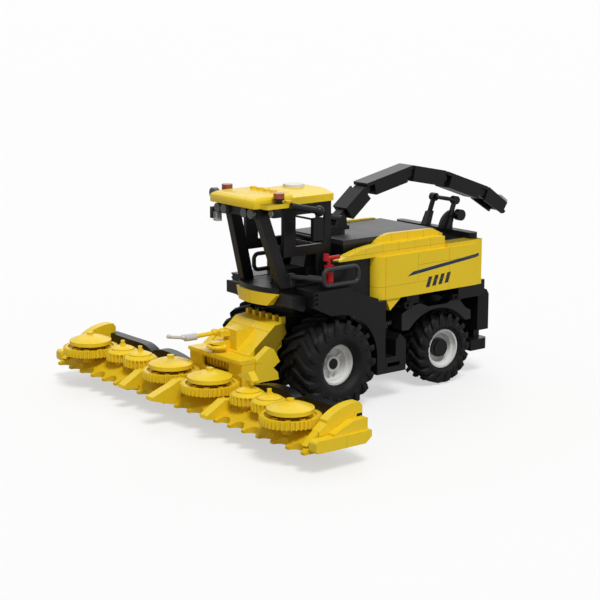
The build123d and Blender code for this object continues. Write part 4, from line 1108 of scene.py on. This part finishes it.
@dataclass
class Header:
    """Crop header with its rotors, and the feeder house that carries it; places in millimetres."""

    big_rotors: tuple[int, ...] = (1, 4, 5, 8)
    small_rotors: tuple[int, ...] = (2, 3, 6, 7)
    crown_z: tuple[float, float] = (32.2, 34.0)
    gear_z: float = 26.4
    silver_y: float = -126.3
    balls: tuple[tuple[Point, float], ...] = (((-6.2, -111.0, 59.1), 2.9), ((-3.0, -106.6, 59.6), 2.9),
                                              ((-10.6, -108.5, 49.2), 2.4), ((2.6, -108.5, 49.2), 2.4),
                                              ((-4.0, -116.2, 49.0), 2.2), ((-8.3, -136.6, 58.6), 2.3),
                                              ((-8.9, -149.0, 60.9), 1.7))
    ball_sides: int = 24
    ball_height: float = 0.9
    link_middle: Point = (-4.0, -110.0, 49.0)
    link_reach: float = 6.6
    link_radius: float = 1.5
    link_sides: int = 16
    link_steps: int = 14
    weld: float = 0.01 * MM
    pan_x: float = -112.0
    beam_x: float = -128.0
    end_seam: tuple[float, float] = (-127.0, 22.8)
    hood_y: tuple[float, float] = (-98.0, -66.0)
    hood_seam_y: float = -84.0
    hood_half: float = 24.2
    hood_seam_x: float = 24.0
    throat_front_y: float = -120.0
    throat_seam_z: float = 41.9

    def ball(self, name: str, place: Point, radius: float) -> None:
        """Slightly flattened ball joint of the sensor arm, silver near the arm's tip and yellow behind.

        Args:
            name: The new piece's name.
            place: Its middle.
            radius: Its radius.
        """
        where = tuple(value * MM for value in place)
        ball = start_piece(name, bpy.ops.mesh.primitive_uv_sphere_add, segments=self.ball_sides,
                           ring_count=self.ball_sides // 2, radius=radius * MM, location=where)
        bpy.ops.transform.resize(value=(1.0, 1.0, self.ball_height), center_override=where)
        settle(ball, SILVER_GREY if place[1] < self.silver_y else YELLOW, "header")

    def link(self) -> None:
        """Half ring of round bar below the sensor arm."""
        x, y, z = (value * MM for value in self.link_middle)
        link = start_piece("arm_link", bpy.ops.mesh.primitive_circle_add, vertices=self.link_sides,
                           radius=self.link_radius * MM, fill_type="NGON",
                           location=(x - self.link_reach * MM, y, z), rotation=(math.radians(90), 0.0, 0.0))
        bpy.ops.mesh.spin(steps=self.link_steps, angle=math.radians(-180), center=(x, y, z), axis=UPWARDS)
        bpy.ops.mesh.select_all(action="SELECT")
        bpy.ops.mesh.remove_doubles(threshold=self.weld)
        face_outwards()
        settle(link, YELLOW, "header")

    def finish(self) -> None:
        """Add the sensor arm's joints and dress the header's pieces."""
        for k, (place, radius) in enumerate(self.balls):
            self.ball(f"arm_ball_{k}", place, radius)
        self.link()
        # Below the gears the rotors get painted shade, dark brownish.
        shaft_shade = Zone(PAINTED_SHAFT_SHADE, high=self.gear_z)
        # The crown band gets painted shade, dark reddish brown.
        crown = Zone(CROWN_SHADE, *self.crown_z)
        dress([f"rotor_{k}" for k in self.big_rotors], YELLOW, "crowns", (), [crown, shaft_shade])
        dress([f"rotor_{k}" for k in self.small_rotors], YELLOW, "gears", (), [shaft_shade])
        # The header pan is a darker yellow, as painted shade.
        dress(("header_pan",), SHADED_YELLOW, "pan", courses(Axis.X, self.pan_x, 4 * STUD, 8))
        dress(("header_dividers", "feed_roller"), YELLOW)
        end_y, end_top = self.end_seam
        dress(("header_ends",), YELLOW, "ends", [Seam(Axis.Y, end_y, Axis.Z, 0.0, end_top)])
        hood = [Seam(Axis.X, 0.0, Axis.Y, *self.hood_y), Seam(Axis.X, self.hood_seam_x, Axis.Y, *self.hood_y),
                Seam(Axis.Y, self.hood_seam_y, Axis.X, -self.hood_half, self.hood_half),
                Seam(Axis.Z, self.throat_seam_z, Axis.Y, self.throat_front_y, self.hood_y[0])]
        dress(("feeder_house",), YELLOW, "feeder", hood)
        dress(("sensor_arm",), YELLOW, "arm", (), [Zone(SILVER, -FAR, self.silver_y, BACKWARDS)])
        dress(("header_beam",), BLACK, "beam", courses(Axis.X, self.beam_x, 4 * STUD, 9))


@dataclass
class Spout:
    """Turntable and five hinged segments; places in millimetres."""

    segments: int = 5
    last_hinge: tuple[float, float] = (146.2, 139.5)
    last_rise: float = -34.8
    tile_top: float = 6.55

    def finish(self) -> None:
        """Dress the spout's pieces, the last with a grey tile on top."""
        dress(["spout_turret"] + [f"spout_{k}" for k in range(1, self.segments)], BLACK)
        turn = math.radians(self.last_rise)
        across = (0.0, -math.sin(turn), math.cos(turn))
        level = across[1] * self.last_hinge[0] + across[2] * self.last_hinge[1] + self.tile_top
        dress((f"spout_{self.segments}",), BLACK, "end", (), [Zone(TILE_GREY, level, FAR, across)])


@dataclass
class Studio:
    """Pale floor, soft light and the camera of the reference view."""

    eye: Point = (945.4 * MM, -788.3 * MM, 325.65 * MM)
    azimuth: float = 51.52
    elevation: float = 11.76
    focal_px: float = 1653.0
    frame_px: float = 600.0
    sensor_mm: float = 36.0
    clip_end: float = 100.0
    floor_size: float = 60.0
    floor_seen: tuple[float, float] = (0.91, 0.93)
    floor_unseen: float = 0.42
    floor_glow: float = 0.55
    floor_waves: float = 4.0
    floor_roughness: float = 0.9
    sky_strength: float = 0.36
    key_strength: float = 2.1
    key_towards: Point = (-0.55, 0.2, -1.0)
    key_softness: float = 20.0
    fill_strength: float = 0.4
    fill_towards: Point = (0.6, -0.5, -0.7)
    fill_softness: float = 40.0

    def floor(self) -> None:
        """Wide floor: pale where the camera sees it, and darker for the light that it throws back."""
        bpy.ops.object.select_all(action="DESELECT")
        bpy.ops.mesh.primitive_plane_add(size=self.floor_size, location=ORIGIN)
        plane = bpy.context.active_object
        plane.name = "studio_floor"
        board = Board(bpy.data.materials.new("floor_paint"))
        vector, _ = board.places()
        seen = board.ray("Camera")
        dim, lit = ((level,) * 3 for level in self.floor_seen)
        pale = board.blend(board.noise(vector, self.floor_waves), dim, lit)
        shade = board.blend(seen, (self.floor_unseen,) * 3, pale)
        looks = {"Base Color": shade, "Roughness": self.floor_roughness}
        paint = board.node("ShaderNodeBsdfPrincipled", {}, looks)
        glow = board.node("ShaderNodeEmission", {}, {"Color": (1, 1, 1, 1), "Strength": 1.0})
        mix = board.node("ShaderNodeMixShader", {}, {0: seen * self.floor_glow, 1: paint, 2: glow})
        board.node("ShaderNodeOutputMaterial", {}, {"Surface": mix})
        plane.data.materials.append(board.owner)
        plane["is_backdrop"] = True

    def sky(self) -> None:
        """World that lights softly, and looks white to the camera and in gloss and clear plastic."""
        board = Board(bpy.data.worlds.new("studio_sky"))
        bpy.context.scene.world = board.owner
        seen = board.ray("Camera").most(board.ray("Glossy")).most(board.ray("Transmission"))
        levels = {"Value": seen, "To Min": self.sky_strength, "To Max": 1.0}
        level = board.node("ShaderNodeMapRange", {}, levels)
        back = board.node("ShaderNodeBackground", {}, {"Color": (1, 1, 1, 1), "Strength": level})
        board.node("ShaderNodeOutputWorld", {}, {"Surface": back})

    @staticmethod
    def sun(name: str, strength: float, towards: Point, softness: float) -> None:
        """Add a soft distant lamp.

        Args:
            name: The lamp's name.
            strength: Its strength.
            towards: The way its light travels.
            softness: Angle that it covers, in degrees.
        """
        lamp = bpy.data.lights.new(name, "SUN")
        lamp.energy = strength
        lamp.angle = math.radians(softness)
        holder = bpy.data.objects.new(name, lamp)
        holder.rotation_euler = Vector(towards).to_track_quat("-Z", "Y").to_euler()
        bpy.context.collection.objects.link(holder)

    def camera(self) -> None:
        """Camera at the reference view's place, angle and lens."""
        lens = bpy.data.cameras.new("reference_view")
        lens.sensor_width = self.sensor_mm
        lens.lens = self.focal_px / self.frame_px * self.sensor_mm
        lens.clip_end = self.clip_end
        holder = bpy.data.objects.new("reference_view", lens)
        turn, tilt = math.radians(self.azimuth), math.radians(self.elevation)
        look = Vector((-math.sin(turn) * math.cos(tilt), math.cos(turn) * math.cos(tilt), -math.sin(tilt)))
        holder.location = self.eye
        holder.rotation_euler = look.to_track_quat("-Z", "Y").to_euler()
        bpy.context.collection.objects.link(holder)
        bpy.context.scene.camera = holder

    def build(self) -> None:
        """Set up the floor, the lights and the camera."""
        self.floor()
        self.sky()
        self.sun("key_light", self.key_strength, self.key_towards, self.key_softness)
        self.sun("fill_light", self.fill_strength, self.fill_towards, self.fill_softness)
        self.camera()
        bpy.context.scene.view_settings.view_transform = "Standard"


def corners(bounds: Any) -> list[list[float]]:
    """Bounds as plain lists of numbers."""
    return [[float(value) for value in corner] for corner in bounds]


def main() -> None:
    """Dress the frame, build what is added to it and set up the studio."""
    logging.basicConfig(level=logging.INFO, format="%(name)s %(message)s")
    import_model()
    cad_box = corners(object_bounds())
    for part in (Wheels(), Body(), Cab(), Fittings(), Header(), Spout()):
        part.finish()
        LOG.info("%s dressed", type(part).__name__)
    Studio().build()
    LOG.info("Studio built")
    {"cad": cad_box, "visual": corners(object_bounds())}


if __name__ == "__main__":
    main()
